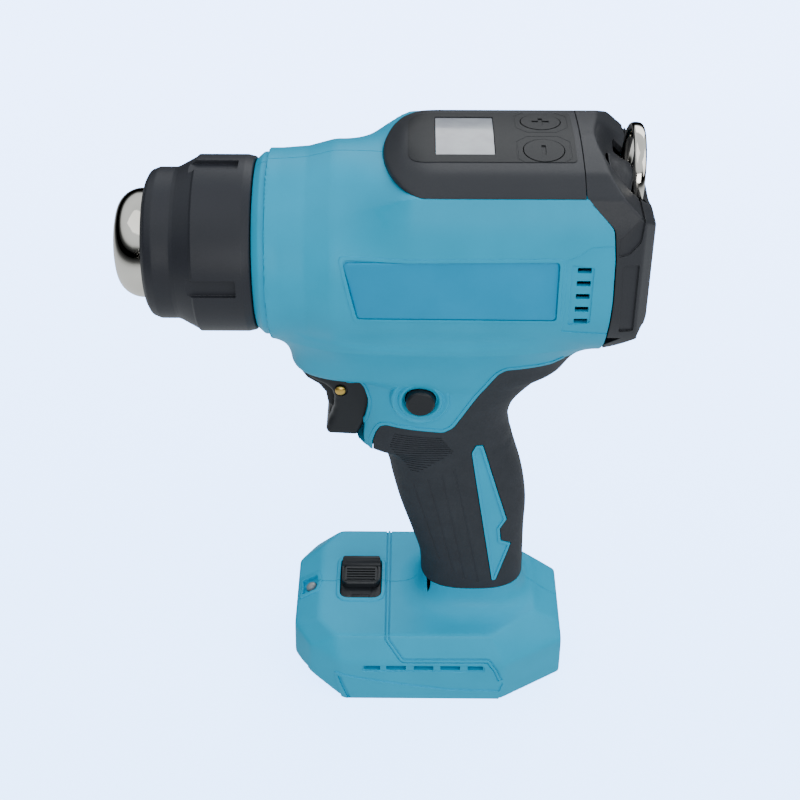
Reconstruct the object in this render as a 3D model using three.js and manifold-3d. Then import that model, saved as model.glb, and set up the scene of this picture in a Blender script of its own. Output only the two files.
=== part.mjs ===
// Cordless heat gun, in millimetres, +Z up.
// The nozzle points along -X, the tool's left side faces -Y, and the foot stands on z = 0.
// The origin is under the middle of the whole tool's box.
import * as THREE from 'three';
import { mergeVertices } from 'three/addons/utils/BufferGeometryUtils.js';
import { ConvexGeometry } from 'three/addons/geometries/ConvexGeometry.js';
import Module from 'manifold-3d';

const wasm = await Module();
wasm.setup();

// ---------------------------------------------------------------- driving dimensions
const HALF_LENGTH = 98.2; // nozzle rim and back face, either side of the origin
const HALF_WIDTH = 38.4; // body sides and foot skirts
const AXIS_Z = 205.2; // height of the nozzle, fan and motor axis
const GAP = 0.3; // between pieces that meet
const HALF_PARTING = 0.15; // each half shell stops this far from the middle plane
const WALL = 2.6; // moulded wall

const BARREL_R = 39;
const NOZZLE_R = 20.5;
const COVER_LOW_Z = 243.3; // lower edge of the black control cover
const COVER_EDGE_Z = 248.3; // edge of its flat top
const COVER_TOP_Z = 250.7; // crown of its flat top
const COVER_BACK_X = 72.3; // seam to the rear cover

const PIN_X = -15.1; // pin that the safety lever turns on
const PIN_Z = 145;
const SPRING_Z = 133; // trigger's return spring
const LOCK_X = 16.2; // lock button
const LOCK_Z = 148.5;
const KEY_X = 58.9; // plus and minus keys
const KEY_Y = 11;
const KEY_R = 7.2;
const RING_X = 92; // hinge line of the hang ring
const RING_Z = 228.5;
const RING_R = 15.7; // middle of the ring's strip
const RING_STRIP = 3; // the strip's thickness, across the ring
const RING_DEPTH = 5.4; // the strip's width, along the nozzle axis
const RING_CENTRE_UP = 8.2; // hinge line to the ring's middle
const RING_LEAN = THREE.MathUtils.degToRad(3); // the ring rests leaning back
const GRIP_LOW_Z = 42;
const FOOT_TOP_Z = 33;

// ---------------------------------------------------------------- solids
// Turns a closed three.js geometry into a manifold-3d solid that faces out.
function solid(geometry) {
  const bare = geometry.clone();
  bare.deleteAttribute('normal');
  bare.deleteAttribute('uv');
  const merged = mergeVertices(bare, 1e-4);
  const points = merged.attributes.position.array;
  const index = merged.index.array;
  const triangles = [];
  let volume = 0;
  for (let i = 0; i < index.length; i += 3) {
    const [a, b, c] = [index[i], index[i + 1], index[i + 2]];
    if (a === b || b === c || c === a) continue;
    triangles.push(a, b, c);
    const [p, q, r] = [a, b, c].map((k) => new THREE.Vector3().fromArray(points, 3 * k));
    volume += p.dot(q.cross(r));
  }
  if (volume < 0) triangles.reverse();
  return new wasm.Manifold(new wasm.Mesh({
    numProp: 3,
    vertProperties: Float32Array.from(points),
    triVerts: Uint32Array.from(triangles),
  }));
}

const join = (...solids) => solids.reduce((sum, one) => sum.add(one));
const cut = (body, ...tools) => tools.reduce((rest, one) => rest.subtract(one), body);

function block(x0, x1, y0, y1, z0, z1) {
  const box = new THREE.BoxGeometry(x1 - x0, y1 - y0, z1 - z0);
  return solid(box.translate((x0 + x1) / 2, (y0 + y1) / 2, (z0 + z1) / 2));
}

function extrude(points, depth, holes = []) {
  const shape = new THREE.Shape(points.map(([u, v]) => new THREE.Vector2(u, v)));
  for (const hole of holes) {
    shape.holes.push(new THREE.Path(hole.map(([u, v]) => new THREE.Vector2(u, v))));
  }
  return new THREE.ExtrudeGeometry(shape, { depth, bevelEnabled: false, curveSegments: 8 });
}

// Outline in X and Z, standing from y0 to y1.
const prismY = (points, y0, y1) => solid(extrude(points, y1 - y0).rotateX(Math.PI / 2).translate(0, y1, 0));

// Outline in Y and Z, standing from x0 to x1.
function prismX(points, x0, x1, holes = []) {
  const turn = new THREE.Matrix4().makeBasis(
    new THREE.Vector3(0, 1, 0),
    new THREE.Vector3(0, 0, 1),
    new THREE.Vector3(1, 0, 0),
  );
  return solid(extrude(points, x1 - x0, holes).applyMatrix4(turn).translate(x0, 0, 0));
}

// Outline in X and Y, standing from z0 to z1.
const prismZ = (points, z0, z1) => solid(extrude(points, z1 - z0).translate(0, 0, z0));

const hull = (points) => solid(new ConvexGeometry(points.map((p) => new THREE.Vector3(...p))));

// Round bar along an axis, between two stations of that axis; at holds the other two coordinates.
function rod(axis, r, from, to, at, sides = 24) {
  const bar = new THREE.CylinderGeometry(r, r, to - from, sides);
  const middle = (from + to) / 2;
  if (axis === 'x') bar.rotateZ(-Math.PI / 2).translate(middle, at[0], at[1]);
  if (axis === 'y') bar.translate(at[0], middle, at[1]);
  if (axis === 'z') bar.rotateX(Math.PI / 2).translate(at[0], at[1], middle);
  return solid(bar);
}

// Turned piece about the nozzle axis, from a closed outline of [x, radius] points.
function turned(points, sides = 40) {
  const outline = [...points, points[0]].map(([x, r]) => new THREE.Vector2(r, x));
  return solid(new THREE.LatheGeometry(outline, sides).rotateZ(-Math.PI / 2).translate(0, 0, AXIS_Z));
}

// Tube of a wire through hand-placed points.
function wire(points, r, steps, sides = 8) {
  const round = new THREE.Shape();
  for (let i = 0; i < sides; i += 1) {
    const angle = (2 * Math.PI * i) / sides;
    const at = [r * Math.cos(angle), r * Math.sin(angle)];
    if (i === 0) round.moveTo(...at);
    else round.lineTo(...at);
  }
  const extrudePath = new THREE.CatmullRomCurve3(points.map((p) => new THREE.Vector3(...p)));
  return solid(new THREE.ExtrudeGeometry(round, { steps, extrudePath, curveSegments: 1 }));
}

const mirrored = (points) => points.flatMap(([x, y, z]) => [[x, y, z], [x, -y, z]]);
const bothSides = (half) => [...half, ...half.map(([y, z]) => [-y, z]).reverse()];

// ---------------------------------------------------------------- the model
const model = new THREE.Group();

function add(name, shape, look) {
  const mesh = shape.getMesh();
  const geometry = new THREE.BufferGeometry();
  geometry.setAttribute('position', new THREE.BufferAttribute(mesh.vertProperties, 3));
  geometry.setIndex(new THREE.BufferAttribute(mesh.triVerts, 1));
  geometry.computeVertexNormals();
  const piece = new THREE.Mesh(geometry, new THREE.MeshStandardMaterial(look));
  piece.name = name;
  model.add(piece);
}

const TEAL = { color: 0x3a9cc0, roughness: 0.5, metalness: 0 };
const INLAY = { color: 0x1f93bd, roughness: 0.4, metalness: 0 };
const BLACK = { color: 0x34363b, roughness: 0.55, metalness: 0 };
const RUBBER = { color: 0x2b2d31, roughness: 0.8, metalness: 0 };
const CHROME = { color: 0xd9d8d4, roughness: 0.12, metalness: 1 };
const STEEL = { color: 0x9a9c9f, roughness: 0.35, metalness: 1 };
const BRASS = { color: 0xc9a24a, roughness: 0.3, metalness: 1 };
const MICA = { color: 0xb9a987, roughness: 0.6, metalness: 0 };
const CERAMIC = { color: 0xe6e2d8, roughness: 0.7, metalness: 0 };
const BOARD = { color: 0x1e6b3f, roughness: 0.5, metalness: 0 };
const LCD = { color: 0xb4b2b6, roughness: 0.15, metalness: 0 };
const LAMP = { color: 0xf2f0e6, roughness: 0.1, metalness: 0 };
const PALE = { color: 0xd8d8d2, roughness: 0.6, metalness: 0 };
const RED = { color: 0xb02a22, roughness: 0.6, metalness: 0 };

// ---------------------------------------------------------------- body outlines
// Half of the body's cross-section, from the keel up the +Y side.
const LOW_HALF = [
  [0, 166.2], [12, 168], [23, 173.4], [31.5, 182], [36.8, 192], [HALF_WIDTH, 198],
  [HALF_WIDTH, 222], [37.2, 233], [34, COVER_LOW_Z],
];
const FULL_HALF = [...LOW_HALF, [24.5, COVER_EDGE_Z], [12, 250.1], [0, COVER_TOP_Z]];

// The cross-section drawn in towards its middle by a wall thickness.
function drawnIn(half, inset) {
  const scale = 1 - inset / HALF_WIDTH;
  return half.map(([y, z]) => [y * scale, 208 + (z - 208) * scale]);
}
// The outline's two end points lie on the middle plane, so only one copy of each is kept.
function section(half, inset = 0) {
  const points = bothSides(drawnIn(half, inset));
  const sameAs = ([y, z]) => points.findIndex((p) => p[0] === y && p[1] === z);
  return points.filter((point, i) => i === sameAs(point));
}

// Seam between the blue housing and the black rear cover, from the top down.
const REAR_SEAM = [[73.2, COVER_LOW_Z], [82.5, 233], [83.6, 222], [84, 205], [83.2, 182], [82, 160]];

// ---------------------------------------------------------------- handle outlines
// Stations up the handle: height, front, back, half width.
const HANDLE = [
  [41, 17.2, 61, 17.4], [57, 16.3, 60.8, 17], [70, 12.6, 60.6, 17.2], [86, 7.8, 60.6, 17.8],
  [100, 4.6, 58.2, 18.2], [114, 2.6, 54.3, 18.6],
];
// Stations of the trigger housing and the web under the body.
const SADDLE = [
  [114, -4, 54.3, 18.6], [119, -8, 52.8, 19], [130, -8.4, 51.6, 20], [141, -10, 55, 21],
  [149, -12, 62, 21.6], [155, -34, 70, 22.2], [176, -36, 78, 30],
];

const OVAL_SIDES = 16;
function oval([z, front, back, half], inset) {
  const middle = (front + back) / 2;
  const reach = (back - front) / 2 - inset;
  const points = [];
  for (let i = 0; i < OVAL_SIDES; i += 1) {
    const angle = (2 * Math.PI * i) / OVAL_SIDES;
    const c = Math.cos(angle);
    const s = Math.sin(angle);
    const x = middle + reach * Math.sign(c) * Math.abs(c) ** 0.75;
    const y = (half - inset) * Math.sign(s) * Math.abs(s) ** 0.75;
    points.push([x, y, z]);
  }
  return points;
}

function stack(stations, inset) {
  const parts = [];
  for (let i = 1; i < stations.length; i += 1) {
    parts.push(hull([...oval(stations[i - 1], inset), ...oval(stations[i], inset)]));
  }
  return join(...parts);
}
const handleBody = (inset) => join(stack(HANDLE, inset), stack(SADDLE, inset));

// Region of the rubber grip, seen from the side.
const GRIP_REGION = [
  [-3.8, 112], [-3.8, 123.4], [-1.2, 128.5], [0.5, 132.1], [2.9, 133.6], [25.3, 131.3], [29.3, 133.8],
  [47.6, 162.8], [50, 164.8], [66, 165.4], [70.6, 167.4], [90, 167.4], [90, 42], [-10, 42], [-10, 112],
];

// Opening that the trigger works in, and the pocket behind it.
const TRIGGER_ARCH = [
  [-45, 155], [-12.4, 154.8], [-8.8, 153.5], [-5.6, 149.9], [-4.2, 144.7], [-4.3, 140],
  [-5.6, 133.7], [-7.7, 129], [-8.2, 124], [-8.2, 100], [-45, 100],
];
const TRIGGER_POCKET = [[-14, 154.9], [1, 154.3], [5.6, 149], [5.6, 136], [3, 127], [-0.6, 120.2], [-14, 118]];
const POCKET_HALF = 11.5;

// ---------------------------------------------------------------- foot
const FOOT = mirrored([
  [-26.6, 24, FOOT_TOP_Z], [-19, 33.5, FOOT_TOP_Z], [47, 33.5, FOOT_TOP_Z], [66, 18, FOOT_TOP_Z],
  [-37.2, 20, 27], [-37.2, 24, 13], [-30, 32, 26], [-30, 33, 10], [-17, HALF_WIDTH, 22],
  [-16, HALF_WIDTH, 0], [52, HALF_WIDTH, 0], [53, HALF_WIDTH, 20],
  [78.4, 22, 0], [78.4, 22, 20], [77.4, 17, 25.5],
]);
const FOOT_ROOM = mirrored([
  [-25, 22, 30], [-17, 30.5, 30], [45, 30.5, 30], [63, 16, 30],
  [-33.5, 18, 25], [-33.5, 20, 15], [-17, 34, 20], [-17, 34, 15], [52, 34, 15], [52, 34, 20],
  [74, 18, 15], [74, 18, 22],
]);
const BAY = { front: -45, back: 50, half: 31, roof: 12 };
const FOOT_SLOTS = [[-7.1, 0], [2.6, 10.9], [14.4, 22.7], [25.7, 34], [37.3, 44]];
const FOOT_SLOT_Z = 18.1;

// ---------------------------------------------------------------- fasteners that the shells make room for
// Housing screws: x, z. They enter from the right side and bite in the left shell.
const HOUSING_SCREWS = [[-25, 161], [36, 152], [64, 163], [24, 104], [27, 62], [68, 8]];
const SCREW_R = 1.5;
const SCREW_HEAD_R = 3;
const SCREW_HEAD_Y = 14; // seat of the head, on the right side

// Rear cover screws: y, z. They run along X into a bulkhead across the housing.
const REAR_SCREWS = [[24.5, 196], [-24.5, 196], [24.5, 222], [-24.5, 222]];
const BULKHEAD_X = [60, 63];
const BULKHEAD_HOLE_R = 22;

// Clear passages for the housing screws: shank, and the head's way in from the right side.
function screwWays(slack) {
  return join(...HOUSING_SCREWS.flatMap(([x, z]) => [
    rod('y', SCREW_R + slack, -9 - slack, SCREW_HEAD_Y, [x, z], 8),
    rod('y', SCREW_HEAD_R + slack, SCREW_HEAD_Y - slack, 45, [x, z], 12),
  ]));
}

// ---------------------------------------------------------------- black control cover, on top
function coverShape(grow) {
  const low = COVER_LOW_Z - grow;
  const edge = COVER_EDGE_Z + grow;
  const crown = COVER_TOP_Z + grow;
  const back = COVER_BACK_X + Math.max(grow, 0);
  return hull(mirrored([
    [8.4 - grow, 12, edge], [12.4 - grow, 20.5, edge], [18 - grow, 24.5, edge], [back, 24.5, edge],
    [10, 0, crown - 0.8], [22, 0, crown], [back, 0, crown],
    [2.3 - grow, 6, 245], [4.6 - grow, 14, 245], [9 - grow, 28 + grow, 244.6],
    [2.3 - grow, 6, low], [4.6 - grow, 14, low], [9 - grow, 28 + grow, low],
    [16, 34 + grow, low], [back, 34 + grow, low],
  ]));
}

const LENS = { x0: 20.7, x1: 41.8, half: 14.8 };
const keyHole = (side, r) => rod('z', r, 244, 252, [KEY_X, side * KEY_Y], 28);

function controlCover() {
  const lens = block(LENS.x0, LENS.x1, -LENS.half, LENS.half, 244, 252);
  const inside = hull(mirrored([
    [20.4, 18, 246.1], [70, 22.3, 246.1], [24, 0, 248.5], [70, 0, 248.5],
    [8, 5, 243.9], [13, 25, 243.9], [18, 31, 243.9], [70, 31, 243.9],
    [8, 5, 240], [13, 25, 240], [18, 31, 240], [70, 31, 240],
  ]));
  return cut(coverShape(0), inside, lens, keyHole(1, KEY_R + GAP), keyHole(-1, KEY_R + GAP));
}
add('control_cover', controlCover(), BLACK);
add('display_lens', coverShape(0).intersect(block(
  LENS.x0 + GAP, LENS.x1 - GAP, -LENS.half + GAP, LENS.half - GAP, 247, 252,
)), LCD);
add('plus_key', coverShape(0.2).intersect(rod('z', KEY_R, 245.8, 252, [KEY_X, KEY_Y], 28)), BLACK);
add('minus_key', coverShape(0.2).intersect(rod('z', KEY_R, 245.8, 252, [KEY_X, -KEY_Y], 28)), BLACK);
add('display_module', block(21, 41.5, -15, 15, 242.6, 246.2), LCD);
add('control_board', join(
  block(16, 67, -20, 20, 240.9, 242.3),
  ...[-1, 1].map((side) => block(KEY_X - 3, KEY_X + 3, side * KEY_Y - 3, side * KEY_Y + 3, 242, 244.4)),
  block(46, 51, -4, 4, 242, 243.8),
), BOARD);

// ---------------------------------------------------------------- blue housing, two half shells
function barrelAndBody() {
  const barrel = turned([
    [-44.7, 0], [-44.7, 31.5], [-42, 34], [-38.6, 34], [-38, 33.2], [-36, 33.2], [-35.2, 35.5],
    [-25.5, 36.3], [-15.7, 38.8], [20, BARREL_R], [20, 0],
  ], 40);
  const ring = Array.from({ length: 40 }, (_, i) => {
    const angle = (2 * Math.PI * i) / 40;
    return [-12, BARREL_R * Math.sin(angle), AXIS_Z + BARREL_R * Math.cos(angle)];
  });
  const shoulder = hull([...ring, ...section(LOW_HALF).map(([y, z]) => [14, y, z])]);
  const seam = prismY([[0, 100], [82, 100], ...REAR_SEAM.slice().reverse(), [73.2, 260], [0, 260]], -50, 50);
  const rear = prismX(section(LOW_HALF), 14, 90).intersect(seam);
  return join(barrel, shoulder, rear);
}

function bodyRoom() {
  const bulkhead = prismX(section(LOW_HALF), ...BULKHEAD_X)
    .subtract(rod('x', BULKHEAD_HOLE_R, 55, 70, [0, AXIS_Z], 24));
  const pilots = REAR_SCREWS.map(([y, z]) => rod('x', SCREW_R + GAP, 58, 65, [y, z], 8));
  return join(
    turned([[-40.5, 0], [-40.5, 30.5], [-30, 32.8], [-18, 35.6], [20, 36.2], [20, 0]]),
    prismX(section(LOW_HALF, WALL), 12, 90),
    rod('x', NOZZLE_R + 0.6, -50, -30, [0, AXIS_Z], 32),
  ).subtract(bulkhead).add(block(14, 90, -22.5, 22.5, 240.6, 250)).add(join(...pilots));
}

function ventSlots() {
  const slots = [];
  for (let i = 0; i < 5; i += 1) {
    const z = 217 - 5.4 * i;
    slots.push(block(70.8, 75.7, -45, 45, z - 1.1, z + 1.1));
  }
  return join(...slots);
}

// Way for the battery leads, from the foot up into the handle.
const LEAD_WAY = block(26, 50, -9, 9, 28, 48);

// Room inside the handle, left solid round the screws.
function throat() {
  const room = prismY([
    [21, 46], [55, 46], [54, 88], [48, 110], [44, 128], [50, 142], [58, 157], [58, 172], [-18, 172],
    [-18, 162], [-6, 159], [9.5, 155], [9.5, 117], [13, 90], [18.5, 66],
  ], -12.6, 12.6);
  const bosses = HOUSING_SCREWS.slice(1, 5).map(([x, z]) => rod('y', 3.6, -13, 13, [x, z], 10));
  return join(cut(room.add(block(-15, 56, -17, 17, 160, 172)), ...bosses), LEAD_WAY);
}

const LAMP_AXIS = { x: -31.5, z: 30.2, tilt: THREE.MathUtils.degToRad(-29.5) };
// Round bar on the lamp's axis, from an outward station to another.
function lampBar(r, from, to) {
  const bar = new THREE.CylinderGeometry(r, r, to - from, 14).rotateX(Math.PI / 2);
  bar.translate(0, 0, (from + to) / 2).rotateY(LAMP_AXIS.tilt);
  return solid(bar.translate(LAMP_AXIS.x, 0, LAMP_AXIS.z));
}

const SWITCH = { x0: -18.2, x1: 0.1, y0: -11.2, y1: 14.6 };

function footShape() {
  const flare = hull([
    ...oval([GRIP_LOW_Z - 0.4, 16.4, 61.8, 18.2], 0), ...oval([31, 8, 71, 27], 0),
  ]);
  const bay = join(
    block(BAY.front, BAY.back, -27, 27, -5, BAY.roof),
    block(BAY.front, BAY.back, -BAY.half, BAY.half, 5.5, BAY.roof),
  );
  const slots = FOOT_SLOTS.flatMap(([x0, x1]) => [-1, 1].map((side) => {
    const [near, far] = side > 0 ? [36.6, 45] : [-45, -36.6];
    return block(x0, x1, near, far, FOOT_SLOT_Z - 1.2, FOOT_SLOT_Z + 1.2);
  }));
  const opening = block(SWITCH.x0, SWITCH.x1, SWITCH.y0, SWITCH.y1, 28, 36);
  return cut(join(hull(FOOT), flare), bay, hull(FOOT_ROOM), opening, lampBar(2.7, -8, 6), ...slots);
}

const LOCK_WAY = join(
  rod('y', 7, -40, -19, [LOCK_X, LOCK_Z], 20),
  rod('y', 5.7, -20, -14.6, [LOCK_X, LOCK_Z], 20),
  rod('y', 7.2, -15, -8, [LOCK_X, LOCK_Z], 20),
);

function housing() {
  const gripRegion = prismY(GRIP_REGION, -50, 50);
  const lockBoss = rod('y', 10, -23, -12, [LOCK_X, LOCK_Z], 24);
  const shell = join(
    barrelAndBody(),
    handleBody(0).subtract(gripRegion),
    handleBody(2.4),
    lockBoss,
  );
  const panels = join(...[-1, 1].map((side) => prismY(panelOutline(0.3), ...panelSpan(side, 37, 45))));
  return cut(
    shell,
    bodyRoom(),
    throat(),
    prismY(TRIGGER_ARCH, -30, 30),
    prismY(TRIGGER_POCKET, -POCKET_HALF, POCKET_HALF),
    rod('x', 4.2, 1, 12, [0, SPRING_Z], 12),
    LOCK_WAY,
    coverShape(GAP),
    ventSlots(),
    panels,
  ).add(footShape().subtract(LEAD_WAY));
}

// Darker blue panel on each side of the body.
function panelOutline(grow) {
  return [
    [-11.5 - grow, 219.6 + grow], [-6.7 - grow, 196.6 - grow], [64.2 + grow, 196.2 - grow],
    [64.2 + grow, 220.4 + grow],
  ];
}
const panelSpan = (side, near, far) => (side > 0 ? [near, far] : [-far, -near]);

const bothHalves = cut(housing(), screwWays(GAP));
const leftSide = block(-120, 120, -60, -HALF_PARTING, -5, 270);
const rightSide = block(-120, 120, HALF_PARTING, 60, -5, 270);
add('left_housing', bothHalves.intersect(leftSide), TEAL);
add('right_housing', bothHalves.intersect(rightSide), TEAL);

// ---------------------------------------------------------------- side panels
for (const [name, side] of [['left_side_panel', -1], ['right_side_panel', 1]]) {
  add(name, prismY(panelOutline(0), ...panelSpan(side, 37.3, 38.2)).intersect(barrelAndBody()), INLAY);
}

// ---------------------------------------------------------------- rubber grips and their inlays
const BOLT_INLAY = [
  [38.3, 123.5], [41.2, 123.5], [52.5, 86], [49.8, 79], [50.6, 73.6], [54.9, 71.8], [48.9, 52.5],
  [47.3, 52.5], [36.6, 119],
];
// The outline moved out along its edges' normals; the points run clockwise seen from -Y.
function grown(points, amount) {
  const count = points.length;
  return points.map(([x, z], i) => {
    const [px, pz] = points[(i + count - 1) % count];
    const [nx, nz] = points[(i + 1) % count];
    const before = new THREE.Vector2(x - px, z - pz).normalize();
    const after = new THREE.Vector2(nx - x, nz - z).normalize();
    const out = new THREE.Vector2(-before.y - after.y, before.x + after.x);
    const reach = (2 * amount) / out.lengthSq();
    return [x + out.x * reach, z + out.y * reach];
  });
}
const gripSkin = handleBody(0).intersect(prismY(GRIP_REGION, -50, 50));
const gripShape = cut(
  gripSkin,
  handleBody(2.4 - GAP),
  screwWays(GAP),
  handleBody(-1).subtract(handleBody(1.5)).intersect(prismY(grown(BOLT_INLAY, GAP), -30, 30)),
  barrelAndBody(),
  LOCK_WAY,
  prismY([[-6, 110], [0, 110], [-6, 124]], -1, 1),
  prismY(TRIGGER_POCKET, -POCKET_HALF, POCKET_HALF),
);
const inlayShape = handleBody(0).subtract(handleBody(1.2)).intersect(prismY(BOLT_INLAY, -30, 30));
add('left_grip', gripShape.intersect(leftSide), RUBBER);
add('right_grip', gripShape.intersect(rightSide), RUBBER);
add('left_grip_inlay', inlayShape.intersect(leftSide), TEAL);
add('right_grip_inlay', inlayShape.intersect(rightSide), TEAL);

// ---------------------------------------------------------------- front collar and nozzle
function frontCollar() {
  const ring = turned([
    [-85.5, 23.8], [-84.4, 25.9], [-82.4, 26.9], [-81.8, 28.2], [-74.3, 28.2], [-72.8, 28.9],
    [-66.8, 32.1], [-66.2, 33], [-48, 33], [-45, 32.3], [-45, 29.8], [-64, 29.8], [-71, 26],
    [-80, 25], [-82, NOZZLE_R + GAP], [-85.5, NOZZLE_R + GAP],
  ], 36);
  const grips = [0, 90, 180, 270].map((turn) => {
    const pocket = new THREE.BoxGeometry(22, 7, 6).translate(-61.6, 0, 34.8);
    return solid(pocket.rotateX(THREE.MathUtils.degToRad(turn)).translate(0, 0, AXIS_Z));
  });
  return cut(ring, ...grips);
}
add('front_collar', frontCollar(), BLACK);

add('nozzle', turned([
  [-HALF_LENGTH, 11.6], [-HALF_LENGTH, 12.3], [-97.8, 13.4], [-96.2, 16.1], [-93.2, 19], [-89.4, 20.3],
  [-85.5, NOZZLE_R], [-26, NOZZLE_R], [-26, NOZZLE_R - 0.6], [-85.5, NOZZLE_R - 0.6], [-89.6, 19.6],
  [-92.6, 18.2], [-95.2, 15.6], [-96.9, 12.9], [-97.4, 11.6],
], 24), CHROME);

// ---------------------------------------------------------------- heater
add('mica_sleeve', turned([[-82, 18.6], [-82, 19.6], [-32, 19.6], [-32, 18.6]], 24), MICA);
add('heater_core', join(
  block(-78, -36, -14, 14, AXIS_Z - 0.8, AXIS_Z + 0.8),
  block(-78, -36, -0.8, 0.8, AXIS_Z - 14, AXIS_Z + 14),
), CERAMIC);

class Helix extends THREE.Curve {
  constructor(start, length, radius, turns, centre) {
    super();
    Object.assign(this, { start, length, radius, turns, centre });
  }

  getPoint(t, target = new THREE.Vector3()) {
    const angle = 2 * Math.PI * this.turns * t;
    const [y, z] = this.centre;
    return target.set(
      this.start + this.length * t,
      y + this.radius * Math.cos(angle),
      z + this.radius * Math.sin(angle),
    );
  }
}
function coil(start, length, radius, turns, centre, wireR, stepsPerTurn) {
  const round = new THREE.Shape(Array.from({ length: 6 }, (_, i) => new THREE.Vector2(
    wireR * Math.cos((Math.PI * i) / 3), wireR * Math.sin((Math.PI * i) / 3),
  )));
  const extrudePath = new Helix(start, length, radius, turns, centre);
  return solid(new THREE.ExtrudeGeometry(round, { steps: turns * stepsPerTurn, extrudePath }));
}
add('heating_coil', coil(-76, 38, 15.6, 5, [0, AXIS_Z], 0.8, 10), STEEL);
add('thermal_sensor', join(
  rod('x', 0.8, -84, -60, [17.6, AXIS_Z], 10),
  solid(new THREE.SphereGeometry(1.2, 8, 6).translate(-84.5, 17.3, AXIS_Z)),
), STEEL);

// ---------------------------------------------------------------- blower
function airDuct() {
  const tube = turned([
    [-30, 22.6], [-15, 30.2], [6, 34], [56, 34], [56, 32.7], [6, 32.7], [-15, 28.9], [-30, 21.3],
  ], 28);
  const hub = turned([[8, 17.3], [8, 18.8], [30, 18.8], [30, 17.3]], 20);
  const vanes = [90, 210, 330].map((turn) => {
    const vane = new THREE.BoxGeometry(20, 1.6, 15.4).translate(19, 0, 25.6);
    return solid(vane.rotateX(THREE.MathUtils.degToRad(turn)).translate(0, 0, AXIS_Z));
  });
  return join(tube, hub, ...vanes);
}
add('air_duct', airDuct(), PALE);
add('motor', join(
  turned([[2, 1.5], [2, 15.8], [4, 16.8], [34, 16.8], [36, 14], [36, 1.5]], 20),
  block(0.5, 3, 8, 11, AXIS_Z - 2, AXIS_Z + 2),
  block(0.5, 3, -11, -8, AXIS_Z - 2, AXIS_Z + 2),
), STEEL);
add('motor_shaft', rod('x', 1.15, -1, 50, [0, AXIS_Z], 16), STEEL);

function impeller() {
  const hub = turned([[39, 1.45], [39, 9], [50, 8], [51.5, 6], [51.5, 1.45]], 16);
  const blades = Array.from({ length: 9 }, (_, i) => {
    const blade = new THREE.BoxGeometry(11, 1.2, 24).rotateZ(THREE.MathUtils.degToRad(35));
    blade.translate(45, 0, 19.2).rotateX((2 * Math.PI * i) / 9);
    return solid(blade.translate(0, 0, AXIS_Z));
  });
  return join(hub, ...blades).subtract(rod('x', 1.45, 30, 60, [0, AXIS_Z], 16));
}
add('fan_impeller', impeller(), BLACK);

// ---------------------------------------------------------------- black rear cover
function rearCover() {
  const plan = prismZ([
    [60, -HALF_WIDTH], [86, -HALF_WIDTH], [93.5, -36], [HALF_LENGTH, -29], [HALF_LENGTH, 29], [93.5, 36],
    [86, HALF_WIDTH], [60, HALF_WIDTH],
  ], 150, 260);
  const side = prismY([
    [COVER_BACK_X + GAP, 260], [COVER_BACK_X + GAP, COVER_LOW_Z + GAP],
    ...REAR_SEAM.map(([x, z]) => [x + GAP + 0.15, z]), [83.6, 174], [88, 179.5], [95.5, 186],
    [HALF_LENGTH, 192], [HALF_LENGTH, 231], [80.6, 248.6], [80.6, 260],
  ], -50, 50);
  const shell = prismX(section(FULL_HALF), 60, 100).intersect(side).intersect(plan);
  const hollow = prismX(section(FULL_HALF, 3), 60, 95.4).intersect(prismY([
    [50, 245.4], [79.4, 245.4], [95.4, 229.4], [95.4, 194], [92.6, 189], [86.6, 183.4], [82, 178], [50, 178],
  ], -34, 34)).intersect(prismZ([[60, -35.6], [85, -35.6], [91.5, -33.4], [95.4, -27.6], [95.4, 27.6],
    [91.5, 33.4], [85, 35.6], [60, 35.6]], 150, 260));
  const boss = block(84, 96.5, -11.3, 11.3, 223.5, 244).intersect(side);
  const slots = [-1, 1].map((way) => {
    const [y0, y1] = way > 0 ? [11.3, 18] : [-18, -11.3];
    return block(85.2, 96.2, y0, y1, 223.5, 250);
  });
  const bore = rod('y', RING_STRIP / 2 + 1.5, -19, 19, [RING_X, RING_Z], 20);
  const screwPosts = REAR_SCREWS.map(([y, z]) => rod('x', 3.4, BULKHEAD_X[1] + GAP, 97, [y, z], 16));
  const screwHoles = REAR_SCREWS.flatMap(([y, z]) => [
    rod('x', SCREW_R + GAP, 50, 100, [y, z], 12),
    rod('x', SCREW_HEAD_R + GAP, 94.5, 100, [y, z], 16),
  ]);
  const grille = Array.from({ length: 6 }, (_, i) => block(94, 100, -17, 17, 191.5 + 5.2 * i, 194.5 + 5.2 * i));
  return cut(join(cut(shell, hollow), boss, ...screwPosts), ...slots, bore, ...screwHoles, ...grille);
}
add('rear_cover', rearCover(), BLACK);
add('intake_filter', block(91.2, 94, -19, 19, 195, 222), BLACK);

function screw(length, sides = 8) {
  const head = new THREE.CylinderGeometry(SCREW_HEAD_R - 0.4, SCREW_HEAD_R, 2, sides + 4).translate(0, 1, 0);
  const shank = new THREE.CylinderGeometry(SCREW_R, SCREW_R, length + 0.5, sides);
  const drive = new THREE.CylinderGeometry(1.1, 1.1, 2.4, 6).translate(0, 2.2, 0);
  return join(solid(head), solid(shank.translate(0, 0.25 - length / 2, 0))).subtract(solid(drive));
}
REAR_SCREWS.forEach(([y, z], i) => {
  const turn = new THREE.Matrix4().makeRotationZ(-Math.PI / 2).setPosition(94.6, y, z);
  add(`rear_cover_screw_${i + 1}`, screw(34).transform(turn.elements), STEEL);
});
HOUSING_SCREWS.forEach(([x, z], i) => {
  add(`housing_screw_${i + 1}`, screw(22).translate([x, SCREW_HEAD_Y + 0.1, z]), STEEL);
});

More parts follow.
